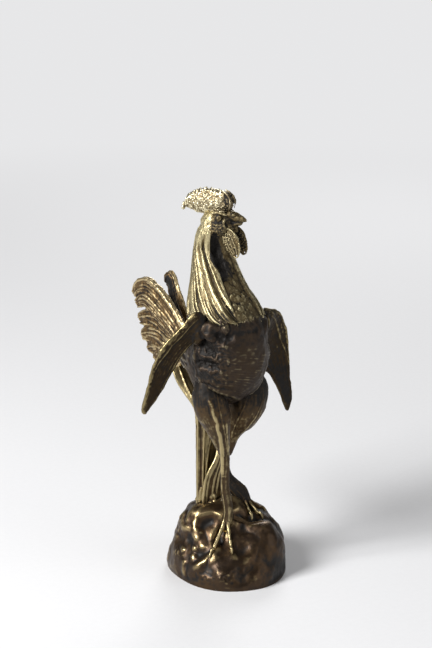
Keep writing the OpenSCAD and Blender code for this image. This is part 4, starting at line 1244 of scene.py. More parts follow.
    def build(self) -> None:
        """The torso casting."""
        rump = spline(self.rump_rows, np.linspace(0, 1, 20))
        path = np.stack([0 * rump[:, 0], rump[:, 0] * self.rump, self.belly + rump[:, 1] * self.height], 1)
        shells = [
            upright(self.row(np.linspace(0, 1, 48)), 110),
            sweep(path, rump[:, 2] * self.width, rump[:, 3] * self.height, sides=48),
            *self.plumage(),
            lump((-11.2, -14.6, 132.2), (4.2, 4.2, 4.6)),
            lump((-15.2, -7.4, 129.6), (10.6, 11.0, 12.0)),
            taper([(-10.6, -14.6, 135), (-11.3, -15.2, 131.5), (-12.2, -15.4, 127.6)], [1.6, 2.6, 1.2]),
        ]
        skin = self.worked(cast(shells, self.voxel))
        x, y, z = skin.points.T
        breast = ease(-y, 2, 8)
        flow = np.stack([x, y / 4, z], 1) * (1 - breast)[:, None]
        flow += np.stack([np.arctan2(y, x) * 5, 0 * x, z + 0.1 * x], 1) * breast[:, None]
        # Painted shade on the right flank beside the wing and on the top of the breast under the throat.
        wear_and_painted_light = -0.5 * glow(skin.points, (-18, -8, 117), (7, 9, 14)) - 0.16 * ease(z, 122, 128) * breast
        self.shop.finish(skin, "torso", "torso", self.coat, wear_and_painted_light, flow)


@dataclass
class Neck(Casting):
    """Hackle cape, throat, skull, eyes, ear lobes and beak."""

    shoulder: float = 135
    length: float = 45.5
    cape: float = 37
    skull: float = 19
    turn: float = 27
    beak: float = 8.5
    groove: float = 1.8
    locks: int = 12
    voxel: float = 0.31
    rows: tuple = (
        (0, 0.1, 1.03, 1.08), (0.12, 0.22, 0.95, 0.97), (0.35, 0.47, 0.73, 0.72),
        (0.68, 0.71, 0.51, 0.52), (0.86, 0.66, 0.45, 0.47), (1, 0.54, 0.34, 0.42),
    )

    @property
    def crown(self) -> Rows:
        """Middle of the skull."""
        return np.array([0, 0.45 * self.cape / 2, self.shoulder + self.length])

    @property
    def heading(self) -> tuple[float, float]:
        """Cosine and sine of the angle by which the head is turned."""
        return math.cos(math.radians(self.turn)), math.sin(math.radians(self.turn))

    def row(self, t: Rows) -> Rows:
        """Rows of [height, middle x, middle y, half width, half depth]; below 0 they follow the torso.

        Args:
            t: Shares of the way up.

        Returns:
            One row for each share.
        """
        t = np.atleast_1d(t)
        s = spline(self.rows, t) * [self.length, self.cape / 2, self.cape / 2, self.cape / 2]
        rows = np.stack([self.shoulder + s[:, 0], 0 * t, s[:, 1], s[:, 2], s[:, 3]], 1)
        below = np.minimum(t, 0)
        rows[:, 0] += below * self.length
        rows[:, 2] += below * 12
        return rows

    def at(self, t: Rows, angle: Rows, lift: Rows) -> Rows:
        """Places on the neck at shares of the way up, angles in degrees and a height over the skin."""
        row, (c, s) = self.row(t), polar(angle)
        x, y = row[:, 1] + (row[:, 3] + lift) * c, row[:, 2] + (row[:, 4] + lift) * s
        return np.stack([x, y, row[:, 0]], 1)

    def edges(self, t: Rows) -> tuple[Rows, Rows]:
        """Angles of the cape's front edges, on the bird's left and on its right."""
        left = np.interp(t, [0, 0.1, 0.5, 1], [-49, -46, -26, -32])
        right = np.interp(t, [0, 0.29, 0.47, 0.64, 0.96], [251, 252, 246, 228, 216])
        return left, right

    def place(self, angle: Rows, t: Rows) -> Rows:
        """Place round the cape: 0 at its left front edge, 1 at its right one."""
        left, right = self.edges(t)
        return (angle - left) / (right - left)

    def bend(self, angle: Rows, t: Rows) -> Rows:
        """Degrees by which a lock has turned towards the front edges."""
        return 40 * (1 - np.clip(t / 0.75, 0, 1)) ** 2 * np.clip((2 * self.place(angle, t) - 1) * 1.6, -1, 1)

    def ripple(self, angle: Rows, t: Rows) -> Rows:
        """The grooves between the locks, the lower throat and the hollow beside it.

        Args:
            angle: Angles in degrees.
            t: Shares of the way up.

        Returns:
            Extra radius, below zero in a groove.
        """
        angle, t = np.broadcast_arrays(angle, t)
        a = np.where(angle > 270, angle - 360, angle)
        u, bent = self.place(a, t), self.place(a - self.bend(a, t), t)
        wave = (1 - np.cos(np.radians(360 * self.locks * bent - 130))) / 2
        narrow = (1 + spline(self.rows, t.ravel())[:, 2].reshape(t.shape)) / 2
        line = np.round(self.locks * bent - 0.861)
        deep = np.clip(0.34 + 0.5 * np.sin(2.1 * line + 1) * np.sin(5.5 * t + 1.7 * line), 0.08, 0.8)
        deep = np.where(line == self.locks - 2, 1.1 * ease(t, -0.2, 0.1) * (1 - ease(t, 0.66, 0.9)), deep)
        for behind, start, end in ((3, 0.2, 0.5), (4, 0.3, 0.45)):
            deep = np.where(line == self.locks - behind, 0.75 * (1 - ease(t, start, end)) + 0.1, deep)
        deep = np.where(line > self.locks - 2, 0.1, deep)
        hollow = 1.3 * np.exp(-(((angle - self.edges(t)[1] - 19) / 17) ** 2) - ((t - 0.62) / 0.18) ** 2)
        return -self.groove * narrow * np.where((u > 0) & (u < 1), deep * wave**3, 0.45 + hollow)

    def follow(self, v: float, t: Rows) -> Rows:
        """Angles of one strand on its way down.

        Args:
            v: Its place round the cape, from 0 to 1.
            t: Shares of the way up.

        Returns:
            One angle for each share.
        """
        left, right = self.edges(t)
        start = angle = left + (right - left) * v
        for _ in range(8):
            angle = start + self.bend(angle, t)
        return angle

    def hackles(self) -> Shell:
        """The long strands of the cape; they lie along the locks and end in a ragged hem.

        Returns:
            The strands as one shell.
        """
        rng = np.random.default_rng(41)
        count = self.locks * 6
        paths, girths = [], []
        for layer, i in np.ndindex(2, count):
            v = (i + 0.5 * layer + rng.uniform(0.3, 0.7)) / count
            if v > 0.995 or (layer and rng.uniform() < 0.5):
                continue
            angle_low = float(self.follow(v, np.array([0.05]))[0])
            hem = float(np.interp(abs(angle_low - 101), [0, 70, 95, 150], [0.1, 0.08, 0.035, -0.03]))
            end = hem + rng.uniform(-0.035, 0.02) + (rng.uniform(0.12, 0.5) if layer else 0)
            t = np.linspace(0.985 - 0.1 * layer * rng.uniform(), end, 36)
            angle = self.follow(v, t)
            left, right = self.edges(t)
            kept = (angle < right + 1.5) & (angle > left - 1.5)
            if not kept.all():
                cut = max(int(np.argmin(kept)), 6)
                t, angle = t[:cut], angle[:cut]
            row = self.row(t)
            thick = (row[:, 3] + row[:, 4]) / 2 * np.radians(280) / count * rng.uniform(0.36, 0.66)
            wave = rng.uniform(0.08, 0.26) * np.sin(rng.uniform(5, 12) * t + rng.uniform(0, 6))
            proud = self.ripple(angle, t) - 0.14 + rng.uniform(-0.2, 0.2) + 0.2 * layer + wave
            near_hem = np.clip((t - t[-1]) / 0.11, 0, 1)
            paths.append(self.at(t, angle, proud + 0.5 * (1 - near_hem) ** 2))
            girths.append(thick * np.maximum(np.sin(near_hem * math.pi / 2) ** 0.8, 0.15))
        return self.shop.cords(paths, girths, 7)

    def throat(self) -> Shell:
        """Short feathers that overlap down the throat.

        Returns:
            The feathers as one shell.
        """
        rng = np.random.default_rng(43)
        spots = []
        for k, t in enumerate(np.linspace(0.56, -0.01, 15)):
            left, right = self.edges(t)
            low, high = right - 360 + 10, left - 8
            step = 13 * 14 / (8 + self.row(t)[0, 3])
            for a in np.arange(low + step / 2 * (k % 2), high, step):
                spot = t + rng.uniform(-0.014, 0.014), a + rng.uniform(-3, 3)
                spots.append((*spot, *(rng.uniform(0.6, 1.25) * np.array([3.0, 5.4, 0.75]))))
        spots = np.array(spots)
        t, a = spots[:, 0], spots[:, 1]
        at = self.at(t, a, self.ripple(a + 360, t) - 0.22 + rng.uniform(-0.25, 0.12, len(t)))
        out = unit(np.stack([*polar(a), 0 * a + 0.35], 1))
        down = unit(np.stack([0 * a, 0 * a - 0.4, 0 * a - 1], 1))
        return self.shop.scales(at, out, unit(down + rng.uniform(-0.3, 0.3, down.shape)), spots[:, 2:], 11)

    def borders(self) -> Shell:
        """The smooth roll down the left of the throat, and the rolled front edges of the cape."""
        roll, edge = np.linspace(0.62, 0.02, 24), np.linspace(0.93, 0.22, 30)
        paths = [self.at(roll, np.full(24, -50), -1.7), self.at(edge, self.edges(edge)[1] - 2.5, -0.5)]
        return self.shop.cords(paths, [2.3 * arc(24, 0.12, 0.9, 0.5), 1.05 * arc(30, 0.12, 0.9, 0.5)], 10)

    def headed(self, shells: Sequence[Shell]) -> list[Shell]:
        """Shells written in the head's own place, moved onto the neck."""
        c, s = self.heading
        turn = np.array([[c, -s, 0], [s, c, 0], [0, 0, 1]])
        return [shell.moved(shell.points @ turn.T + self.crown) for shell in shells]

    def cheek(self, side: int) -> list[Shell]:
        """Cheek, eye, brow, wrinkles, creases and lobe on one side of the head.

        Args:
            side: -1 for the bird's right, 1 for its left.

        Returns:
            The shells, in the head's own place.
        """
        shop, k, mirror = self.shop, self.skull, np.array([side, 1, 1])
        around = np.linspace(0, 2 * math.pi, 25)
        eye = np.array([5.1, -2.6, 3.6]) * mirror
        ring = eye + np.stack([0 * around + side * 0.05, 1.7 * np.cos(around), 1.35 * np.sin(around)], 1)
        lines = [
            (((4.2, -7.6, 5.2), (5.1, -3.6, 6.2), (4.8, 1.6, 5.4)), (1, 1.5, 1.2)),
            (((4.9, -6.6, 3.8), (5.5, -6, 1.2), (5.4, -6.8, -1.4)), (0.9, 1.3, 0.8)),
        ]
        for wrinkle in range(4):
            y, z = 1.4 + 0.9 * wrinkle, 4.6 - 0.5 * wrinkle
            lines.append((((4.2, y, z), (5.0, y + 0.6, z - 3.0), (5.0, y + 0.2, z - 6.0)), (0.8, 1.0, 0.6)))
        for fold in range(3):
            z = 0.9 - 1.5 * fold
            crease = (5.3, -5.6 + fold, z), (6.0, -2.6 + fold, z - 0.9), (5.4, 0.6, z - 0.3)
            lines.append((crease, (0.7, 1.1, 0.7)))
        cheek = lump((side * 0.21 * k, -0.16 * k, -0.1 * k), np.array([0.24, 0.46, 0.38]) * k)
        lobe = lump((side * 0.26 * k, 0.1 * k, -0.16 * k), np.array([0.17, 0.26, 0.38]) * k)
        return [
            shop.grains(cheek, 0.95, 0.5, 1.0, 51),
            lump(eye, (1.7, 2.3, 2.1)),
            shop.cords([ring], [0.34 + 0.1 * np.sin(3 * around)]),
            *[taper(np.array(line) * mirror, widths) for line, widths in lines],
            shop.grains(lobe, 1.1, 0.5, 0.9, 52),
        ]

    def head(self) -> list[Shell]:
        """Skull, both cheeks and both halves of the beak.

        Returns:
            The shells, moved onto the neck.
        """
        k, bk = self.skull, self.beak
        root, jaw = np.array([0, -0.42, 0.22]) * k, np.array([0, -0.38, 0.02]) * k
        upper = [(0, 2.5, 0.4), (0, 0, 0), (0, -0.55 * bk, -0.12 * bk), (0, -bk, -0.22 * bk)]
        ridge = [(0, 1.0, 2.3), (0, -0.25 * bk, 1.7), (0, -0.6 * bk, 0.6), (0, -0.98 * bk, -1.3)]
        lower = [(0, 2, 0), (0, 0, 0), (0, -0.45 * bk, 0.06 * bk), (0, -0.8 * bk, 0.1 * bk)]
        shells = [
            lump((0, 0, 0), np.array([0.6, 1, 0.68]) * k),
            lump((0, -0.22 * k, 0.1 * k), (8.4, 9, 8.0)),
            *self.cheek(-1),
            *self.cheek(1),
            taper(root + upper, [5.8, 5.2, 3.7, 0.9], 16),
            taper(root + ridge, [1.0, 1.1, 1.0, 0.7], 14),
            taper(jaw + lower, [4.8, 4.4, 3.0, 1.0], 14),
            *[lump(root + [side * 2.1, -1.8, 1.0], (1.3, 2.2, 1.3)) for side in (-1, 1)],
        ]
        return self.headed(shells)

    def worked(self, skin: Shell) -> Shell:
        """The skin with a slight unevenness and the recess beside the throat.

        Args:
            skin: The fused skin.

        Returns:
            The worked skin.
        """
        p = skin.points
        push = clays(p, (0.1, 2.4, 42), (0.05, 1.0, 44))
        push += 0.22 * clay(p, 1.5, 45) * ease(p[:, 2], self.shoulder + 38, self.shoulder + 42)
        for t, depth in ((0.74, 0.7), (0.64, 1.1), (0.54, 1.0), (0.46, 0.6)):
            push -= dent(p, self.at(t, self.edges(t)[1] + 14, -1.5)[0], 2.6, depth)
        return skin.pushed(push)

    def dressed(self, p: Rows) -> tuple[Rows, Rows]:
        """How much brighter or darker each point is coloured, mostly as painted light and shade, and the way
        its streaks run.

        Args:
            p: Points of the casting.

        Returns:
            The tones, with painted shade on the throat, the face and the hollow beside the throat, a painted
            highlight on the nape, and darker at the foot of the cape by its right front edge; and the
            streaks' coordinates.
        """
        t = (p[:, 2] - self.shoulder) / self.length
        angle = np.degrees(np.arctan2(p[:, 1] - self.row(t)[:, 2], p[:, 0])) % 360
        left, right = self.edges(t)
        throat = ((angle > right + 1) & (angle < left + 359)).astype(float)
        middle, (c, s) = self.crown, self.heading
        ahead = (p - middle)[:, 0] * s - (p - middle)[:, 1] * c
        face = ease(p[:, 2], middle[2] - 8, middle[2] - 4) * ease(ahead, -1.5, 2)
        # Painted shade on the throat and the face and in the hollow beside the throat; a painted highlight on
        # the nape.
        wear_and_painted_light = -0.08 * throat * (1 - face) - 0.34 * face + 0.04 * (1 - throat) * (1 - face)
        side = np.clip(np.abs(angle - right - 21) / 25, 0, 2)
        wear_and_painted_light -= 0.85 * np.exp(-(side**4) - (np.abs(t - 0.64) / 0.2) ** 3) * throat
        wear_and_painted_light += 0.3 * (1 - ease(ahead, -3.5, 0)) * ease(p[:, 2], middle[2] - 14, middle[2] - 6)
        a = np.where(angle > 270, angle - 360, angle)
        bent = self.place(a - self.bend(a, t), t)
        # Darker at the foot of the cape by its right front edge.
        wear_and_painted_light -= 0.36 * (1 - ease(t, 0.04, 0.2)) * ease(bent, 0.68, 0.86) * (1 - throat)
        strands = np.stack([bent * 88, p[:, 2] / 7, 0 * t], 1)
        return wear_and_painted_light, np.where(((throat < 0.5) & (t < 0.96))[:, None], strands, p)

    def build(self) -> None:
        """The neck and head casting."""
        body = upright(self.row(np.linspace(0, 1, 60)), 180, self.ripple, -0.3)
        parts = [body, self.hackles(), self.throat(), self.borders(), *self.head()]
        skin = self.worked(cast(parts, self.voxel))
        self.shop.finish(skin, "neck", "neck_and_head", self.coat, *self.dressed(skin.points))


@dataclass
class Comb(Casting):
    """The thick granular comb."""

    neck: Neck
    length: float = 27
    height: float = 12.5
    thick: float = 8
    spikes: tuple = (
        (0, 0.34), (0.14, 0.72), (0.28, 0.9), (0.42, 0.97), (0.57, 1), (0.72, 0.98), (0.86, 0.9), (1, 0.7),
    )

    def body(self, foot: float) -> Shell:
        """The comb's plain form on the skull.

        Args:
            foot: Height of the skull's top.

        Returns:
            The form.
        """
        share, tall = spline(self.spikes, np.linspace(0, 1, 30)).T
        high = tall * self.height * 0.92
        path = np.stack([0 * share, (0.5 - share + 0.19) * self.length, foot + high * 0.42 + 0.4], 1)
        round_off = np.sqrt(np.maximum(0.02, 1 - (2 * share - 1) ** 6))
        wide = self.thick * (1 - np.abs(share - 0.5) * 0.75)
        return cast([sweep(path, wide * round_off, high * 1.12 * round_off, sides=28)], 0.5)

    def build(self) -> None:
        """The comb casting."""
        foot = 0.68 * 0.42 * self.neck.skull
        rows = spline(self.spikes, np.linspace(0, 1, 30))
        rng = np.random.default_rng(61)
        grown = [self.shop.grains(self.body(foot), 0.95, 0.4, 1.05, 62)]
        for s in np.linspace(0.01, 0.97, 17):
            tall = float(np.interp(s, rows[:, 0], rows[:, 1]))
            for x in (-0.2, 0.16):
                x = (x + rng.uniform(-0.07, 0.07)) * self.thick
                at = (0.5 - s + 0.19) * self.length + rng.uniform(-0.6, 0.6)
                dome = tall * self.height * (1 - 0.4 * (x / self.thick * 2) ** 2)
                top = foot + dome + rng.uniform(-0.7, 0.6)
                lean = rng.uniform(-0.7, 0.7)
                cone = [(x, at, top - 4.4), (x + lean / 2, at, top - 1.4), (x + lean, at + lean / 2, top)]
                grown.append(taper(cone, [2.1, 1.3, 0.5], 8))
        for x in (-3.2, -2.2, 2.6):
            front = [(x, -7.6, foot + 2.0), (x * 0.9, -8.4, foot + 6), (x * 0.7, -6.4, foot + 9.6)]
            grown.append(taper([*front, (x * 0.6, -3, foot + 11.6)], [0.7, 1.0, 1.0, 0.7], 14))
        skin = cast(self.neck.headed(grown), 0.25)
        skin = skin.pushed(clays(skin.points, (0.25, 2.0, 65), (0.12, 0.9, 66)), 2, 0.4)
        c, s = self.neck.heading
        ahead = skin.points[:, 0] * s - (skin.points[:, 1] - 8.3) * c
        # Painted shade on the front end of the comb, the side turned from the key light.
        self.shop.finish(skin, "comb", "comb", self.coat, 0.09 - 0.46 * ease(ahead, 3.2, 5.6))


@dataclass
class Wattle(Casting):
    """One wattle: a leaf with a raised rim round a grained face."""

    neck: Neck
    side: Side
    length: float = 14
    width: float = 9.5
    lean: float = 0.36

    def build(self) -> None:
        """The wattle casting."""
        s, lean, shop = self.side.value, self.lean, self.shop
        middle = np.array([s * 0.2, -0.52, -0.46]) * self.neck.skull
        angle, t = np.linspace(0, 2 * math.pi, 41), np.linspace(0.15, 0.85, 14)
        half_w, half_l = self.width / 2, self.length / 2
        leaf_z = half_l * np.cos(angle)
        leaf_y = (half_w - 0.5) * np.sin(angle) * (0.88 + 0.22 * np.cos(angle)) + lean * leaf_z
        rim = middle + np.stack([0 * angle + s * 0.35, leaf_y, leaf_z + 0.3], 1)
        shells = [shop.cords([rim], [0.48 + 0.1 * np.sin(5 * angle) + 0.06 * np.sin(11 * angle)], 10)]
        c = 1 / math.hypot(1, lean)
        tilt = np.array([[1, 0, 0], [0, c, lean * c], [0, -lean * c, c]])
        core = lump(middle + [s * 0.1, 0.1, 0.3], (2.2, half_w * 1.8, half_l * 1.86), tilt)
        shells.append(shop.grains(core, 1.0, 0.4, 1.1, 63 + s))
        for k in range(3):
            y = (k - 1) * 1.9 * np.sin(t * math.pi) + lean * half_l * np.cos(t * math.pi)
            line = middle + np.stack([0 * t + s * 1.05, y, half_l * 0.82 * np.cos(t * math.pi)], 1)
            shells.append(shop.cords([line], [0.38 * np.sin(t * math.pi) + 0.05]))
        root = [middle + [-s * 0.5, 1.5, 4.0], middle + [-s * 1.5, 2.6, 7.5], (s * 0.6, -0.8, 0.0)]
        shells.append(taper(root, [3.2, 3.2, 3.0], 8))
        skin = cast(self.neck.headed(shells), 0.22)
        skin = skin.moved(skin.eased(1, 0.3))
        label = f"{self.side.label}_wattle"
        # Painted shade: the left wattle, on the side turned from the key light, is darker than the right one.
        shop.finish(skin, label, label, self.coat, -0.1 if self.side is Side.RIGHT else -0.3)


@dataclass
class Wing(Casting):
    """One drooping wing, with quills on its back and lining feathers on its hollow face."""

    side: Side
    drop: float
    outer: tuple
    inner: tuple
    reach: float = 27
    swing: float = 13
    shoulder: float = 135
    half_body: float = 20
    thick: float = 3
    voxel: float = 0.34
    thick_shares: tuple = (1.6, 1.5, 1.3, 1.1, 1, 0.9, 0.8, 0.6)

    def edge(self, rows: tuple, t: Rows) -> Rows:
        """Points of one edge of the blade."""
        s = spline(rows, t)
        x = self.side.value * (0.875 * self.half_body + s[:, 0] * self.reach)
        return np.stack([x, s[:, 1] * self.swing, self.shoulder + s[:, 2] * self.drop], 1)

    def blade(self, t: Rows, across: Rows, face: Rows) -> Rows:
        """Points on the blade.

        Args:
            t: Shares of the way from shoulder to tip.
            across: From -1 at the inner edge to 1 at the outer edge.
            face: 1 for the back of the wing, -1 for its hollow face, 0 for between them.

        Returns:
            The points.
        """
        outer, inner = self.edge(self.outer, t), self.edge(self.inner, t)
        near, far = np.clip(t + 0.02, 0, 1), np.clip(t - 0.02, 0, 1)
        ends = self.edge(self.outer, near) + self.edge(self.inner, near)
        along = unit(ends - self.edge(self.outer, far) - self.edge(self.inner, far))
        span = outer - inner
        normal = unit(np.cross(along, unit(span)))
        normal *= np.where(normal[:, 1:2] > 0, 1, -1)
        up = np.sqrt(np.maximum(0, 1 - across**2))[:, None]
        thick = self.thick * spline(self.thick_shares, t)[:, None]
        bulge = np.linalg.norm(span, axis=1)[:, None] * 0.1
        middle = (outer + inner) / 2 + span / 2 * across[:, None]
        return middle + normal * (thick / 2 * up * face + bulge * up**2)

    def body(self) -> Shell:
        """The plain blade.

        Returns:
            Its skin.
        """
        t = np.linspace(0, 1, 48)
        turns = np.linspace(0, 2 * math.pi, 40, endpoint=False)
        faces = [math.sin(a) / max(abs(math.sin(a)), 1e-6) for a in turns]
        rings = [self.blade(t, np.full(48, math.cos(a)), face) for a, face in zip(turns, faces)]
        return loft(np.stack(rings, 1))

    def quills(self) -> Shell:
        """Quills down the back, faint lining ridges down the hollow face, and the rim.

        Returns:
            All of them as one shell.
        """
        paths, girths = [], []
        for face, count, strong, sunk in ((1, 11, 0.95, 0.25), (-1, 7, 0.6, 0.32)):
            for k in range(count):
                v = -0.8 + 1.5 * k / (count - 1)
                t = np.linspace(0.1 + 0.25 * (1 - v) / 2 * (face > 0), 0.975, 26)
                drift = np.clip(v + 0.2 * (t - 0.5) + 0.03 * np.sin(9 * t + k), -0.88, 0.88)
                thin = self.thick * spline(self.thick_shares, t)[:, None] / 2
                place, middle = self.blade(t, drift, face), self.blade(t, drift, 0)
                paths.append(place + (middle - place) * np.minimum(1, sunk / thin))
                girths.append(strong * (0.95 - 0.3 * t) * arc(26, 0.1, 0.95, 0.4))
        t, s = np.linspace(0.05, 0.985, 60), np.linspace(0.12, 0.66, 30)
        slim = ease(t, 0.6, 0.9)
        paths += [
            self.blade(t, 0.94 - 0.12 * slim, 0),
            self.blade(t, np.full(60, -0.95), 0),
            self.blade(s, 0.5 + 0.36 * ease(s, 0.42, 0.66), -1),
        ]
        girths += [
            (0.8 + 0.1 * np.sin(t * 47) + 0.06 * np.sin(t * 31 + 1)) * (1 - 0.36 * slim),
            0.62 + 0.06 * np.sin(t * 43),
            0.62 * arc(30, 0.1, 0.92, 0.5) * (1 + 0.15 * np.sin(40 * s)),
        ]
        return self.shop.cords(paths, girths)

    def coverts(self) -> Shell:
        """Short feathers over the back of the shoulder, and a band of flecks on the hollow face.

        Returns:
            All of them as one shell.
        """
        rng = np.random.default_rng(71)
        spots = []
        for k, place in enumerate(np.linspace(0.05, 0.46, 7)):
            for across in np.arange(-0.7 + 0.12 * (k % 2), 0.85, 0.25):
                spots.append((place + rng.uniform(-0.01, 0.01), across, 1))
        band = len(spots)
        for place in np.linspace(0.08, 0.5, 13):
            spots += [(place + rng.uniform(-0.015, 0.015), across, -1) for across in (0.58, 0.74, 0.88)]
        t, v, face = np.array(spots).T
        face = face[:, None]
        at = self.blade(t, v, face)
        down = unit(self.blade(np.minimum(t + 0.03, 1), v, face) - at)
        out = unit(np.cross(down, self.blade(t, v + 0.05, face) - at))
        out *= np.sign(out[:, 1:2] * face)
        size = rng.uniform(0.6, 1.25, (len(t), 1)) * [3.9, 6.0, 1.3]
        size[band:] = rng.uniform(0.7, 1.3, (len(t) - band, 1)) * [1.3, 4.4, 0.6]
        return self.shop.scales(at, out, unit(down + rng.uniform(-0.2, 0.2, down.shape)), size, 7)

    def build(self) -> None:
        """The wing casting."""
        s, label = self.side.value, f"{self.side.label}_wing"
        boss = lump((s * 20.6, -2.6, 129), (5, 8, 11))
        skin = cast([self.body(), self.quills(), self.coverts(), boss], self.voxel)
        skin = skin.pushed(clays(skin.points, (0.24, 3.2, 72), (0.12, 1.3, 73)))
        p = skin.points
        along = unit(self.edge(self.outer, 0.9)[0] - [s * 21, -3, 130])
        # Painted shade towards the wing's lower end and its root by the body: strongest low on the left wing
        # and at the right wing's root.
        low, inner = ease(-p[:, 2], -108, -96), 1 - ease(s * p[:, 0], 19, 24)
        wear_and_painted_light = -0.26 * low - 0.2 * inner if s > 0 else -0.04 * low - 0.62 * inner
        self.shop.finish(skin, label, label, self.coat, wear_and_painted_light, p - np.outer(p @ along, along) * 0.85)


@dataclass
class TailFan(Casting):
    """One vane of the tail: seven lapped feathers with barbs along both faces."""

    side: Side
    tops: tuple
    length: float = 48
    height: float = 47
    root: float = 23.87
    low: float = 98.2
    gap: float = 8
    lean: float = 2.1
    thick: float = 2.6
    width: float = 10
    voxel: float = 0.33
    lows: tuple = (
        ((0, 0.32), (0.29, 0.31), (0.58, 0.37), (0.83, 0.31)),
        ((0, 0.32), (0.29, 0.24), (0.54, 0.245), (0.73, 0.18)),
        ((0, 0.32), (0.25, 0.2), (0.46, 0.15), (0.59, 0.08)),
        ((0, 0.32), (0.17, 0.17), (0.33, 0.12), (0.44, 0.05)),
    )
    width_shares: tuple = (0.6, 0.9, 1, 1, 0.95, 0.8, 0.5)

    def shaft(self, rows: tuple, lap: int, t: Rows) -> Rows:
        """Middle line of one feather."""
        y, z = spline(rows, t).T
        out = self.gap + self.lean * y + self.thick * (0.033 * lap + 0.18 * (lap % 2))
        back, up = self.root + y * self.length * 0.993, self.low + z * self.height
        return np.stack([self.side.value * out, back, up], 1)

    def build(self) -> None:
        """The vane's casting."""
        s, shells, paths, girths = self.side.value, [], [], []
        rng = np.random.default_rng(81 + s)
        t = np.linspace(0, 0.978, 30)
        for lap, rows in enumerate(self.tops + self.lows):
            path = self.shaft(rows, lap, t)
            broad = self.width * spline(self.width_shares, t)
            end = np.sqrt(np.maximum(0.01, 1 - ease(t, 0.86, 1.02) ** 2))
            thin = self.thick * (1 - 0.3 * t)
            shells.append(sweep(path, thin * end, broad * end, sides=20))
            across = np.cross(tangents(path), [1.0, 0.0, 0.0])
            for face, k in product((-1, 1), range(6)):
                v = (k - 2.5) / 2.9 + rng.uniform(-0.07, 0.07)
                wave = rng.uniform(0.03, 0.09) * np.sin(rng.uniform(5, 9) * t + 2.3 * k + lap)
                place = (v * (0.55 + 0.45 * ease(t, 0, 0.5)) + wave)[:, None] * across * broad[:, None] / 2
                proud = thin / 2 * np.sqrt(np.maximum(0.05, 1 - (v * 0.98) ** 2)) + rng.uniform(-0.25, 0.2)
                proud = proud + 0.2 * np.sin(rng.uniform(8, 14) * t + rng.uniform(0, 6))
                paths.append(path + place + np.array([face, 0, 0]) * proud[:, None])
                strong = rng.choice([1.15, 0.85, 0.6, 0.45])
                rough = 1 + 0.25 * np.sin(rng.uniform(14, 24) * t + rng.uniform(0, 6))
                girths.append(strong * rough * (1 - 0.36 * t) * arc(30, 0.08, 0.97, 0.35))
        top = self.shaft(self.tops[0], 0, t)
        rise = (self.width * 0.42 * np.sin(0.4 + 2.2 * t))[:, None]
        crest = top + np.cross([1.0, 0.0, 0.0], tangents(top)) * rise
        paths.append(crest + [s * 0.6, 0, 0])
        girths.append(0.75 * arc(30, 0.1, 0.95, 0.4))
        shells += [lump((s * 7.5, 29, 114.8), (5.2, 12, 12)), self.shop.cords(paths, girths, 7)]
        skin = cast(shells, self.voxel)
        out = skin.normals()
        skin = skin.pushed(clays(skin.points, (0.34, 3.0, 82), (0.2, 1.3, 83)))
        x, y, z = (skin.points - [0, self.root, self.low + 0.32 * self.height]).T
        flow = np.stack([np.arctan2(z, y) * 26, np.hypot(y, z) / 6, x * 0.3], 1)
        rim = swell(skin.points, crest, 1.3, 1.0)
        # Brighter along the crest; painted shade on the left vane's faces turned towards the middle of the
        # tail.
        wear_and_painted_light = 0.55 * rim - (0.62 * ease(-out[:, 0], 0.1, 0.6) * (1 - rim) if s > 0 else 0)
        label = self.side.label
        self.shop.finish(skin, f"{label}_tail", f"{label}_tail_fan", self.coat, wear_and_painted_light, flow)


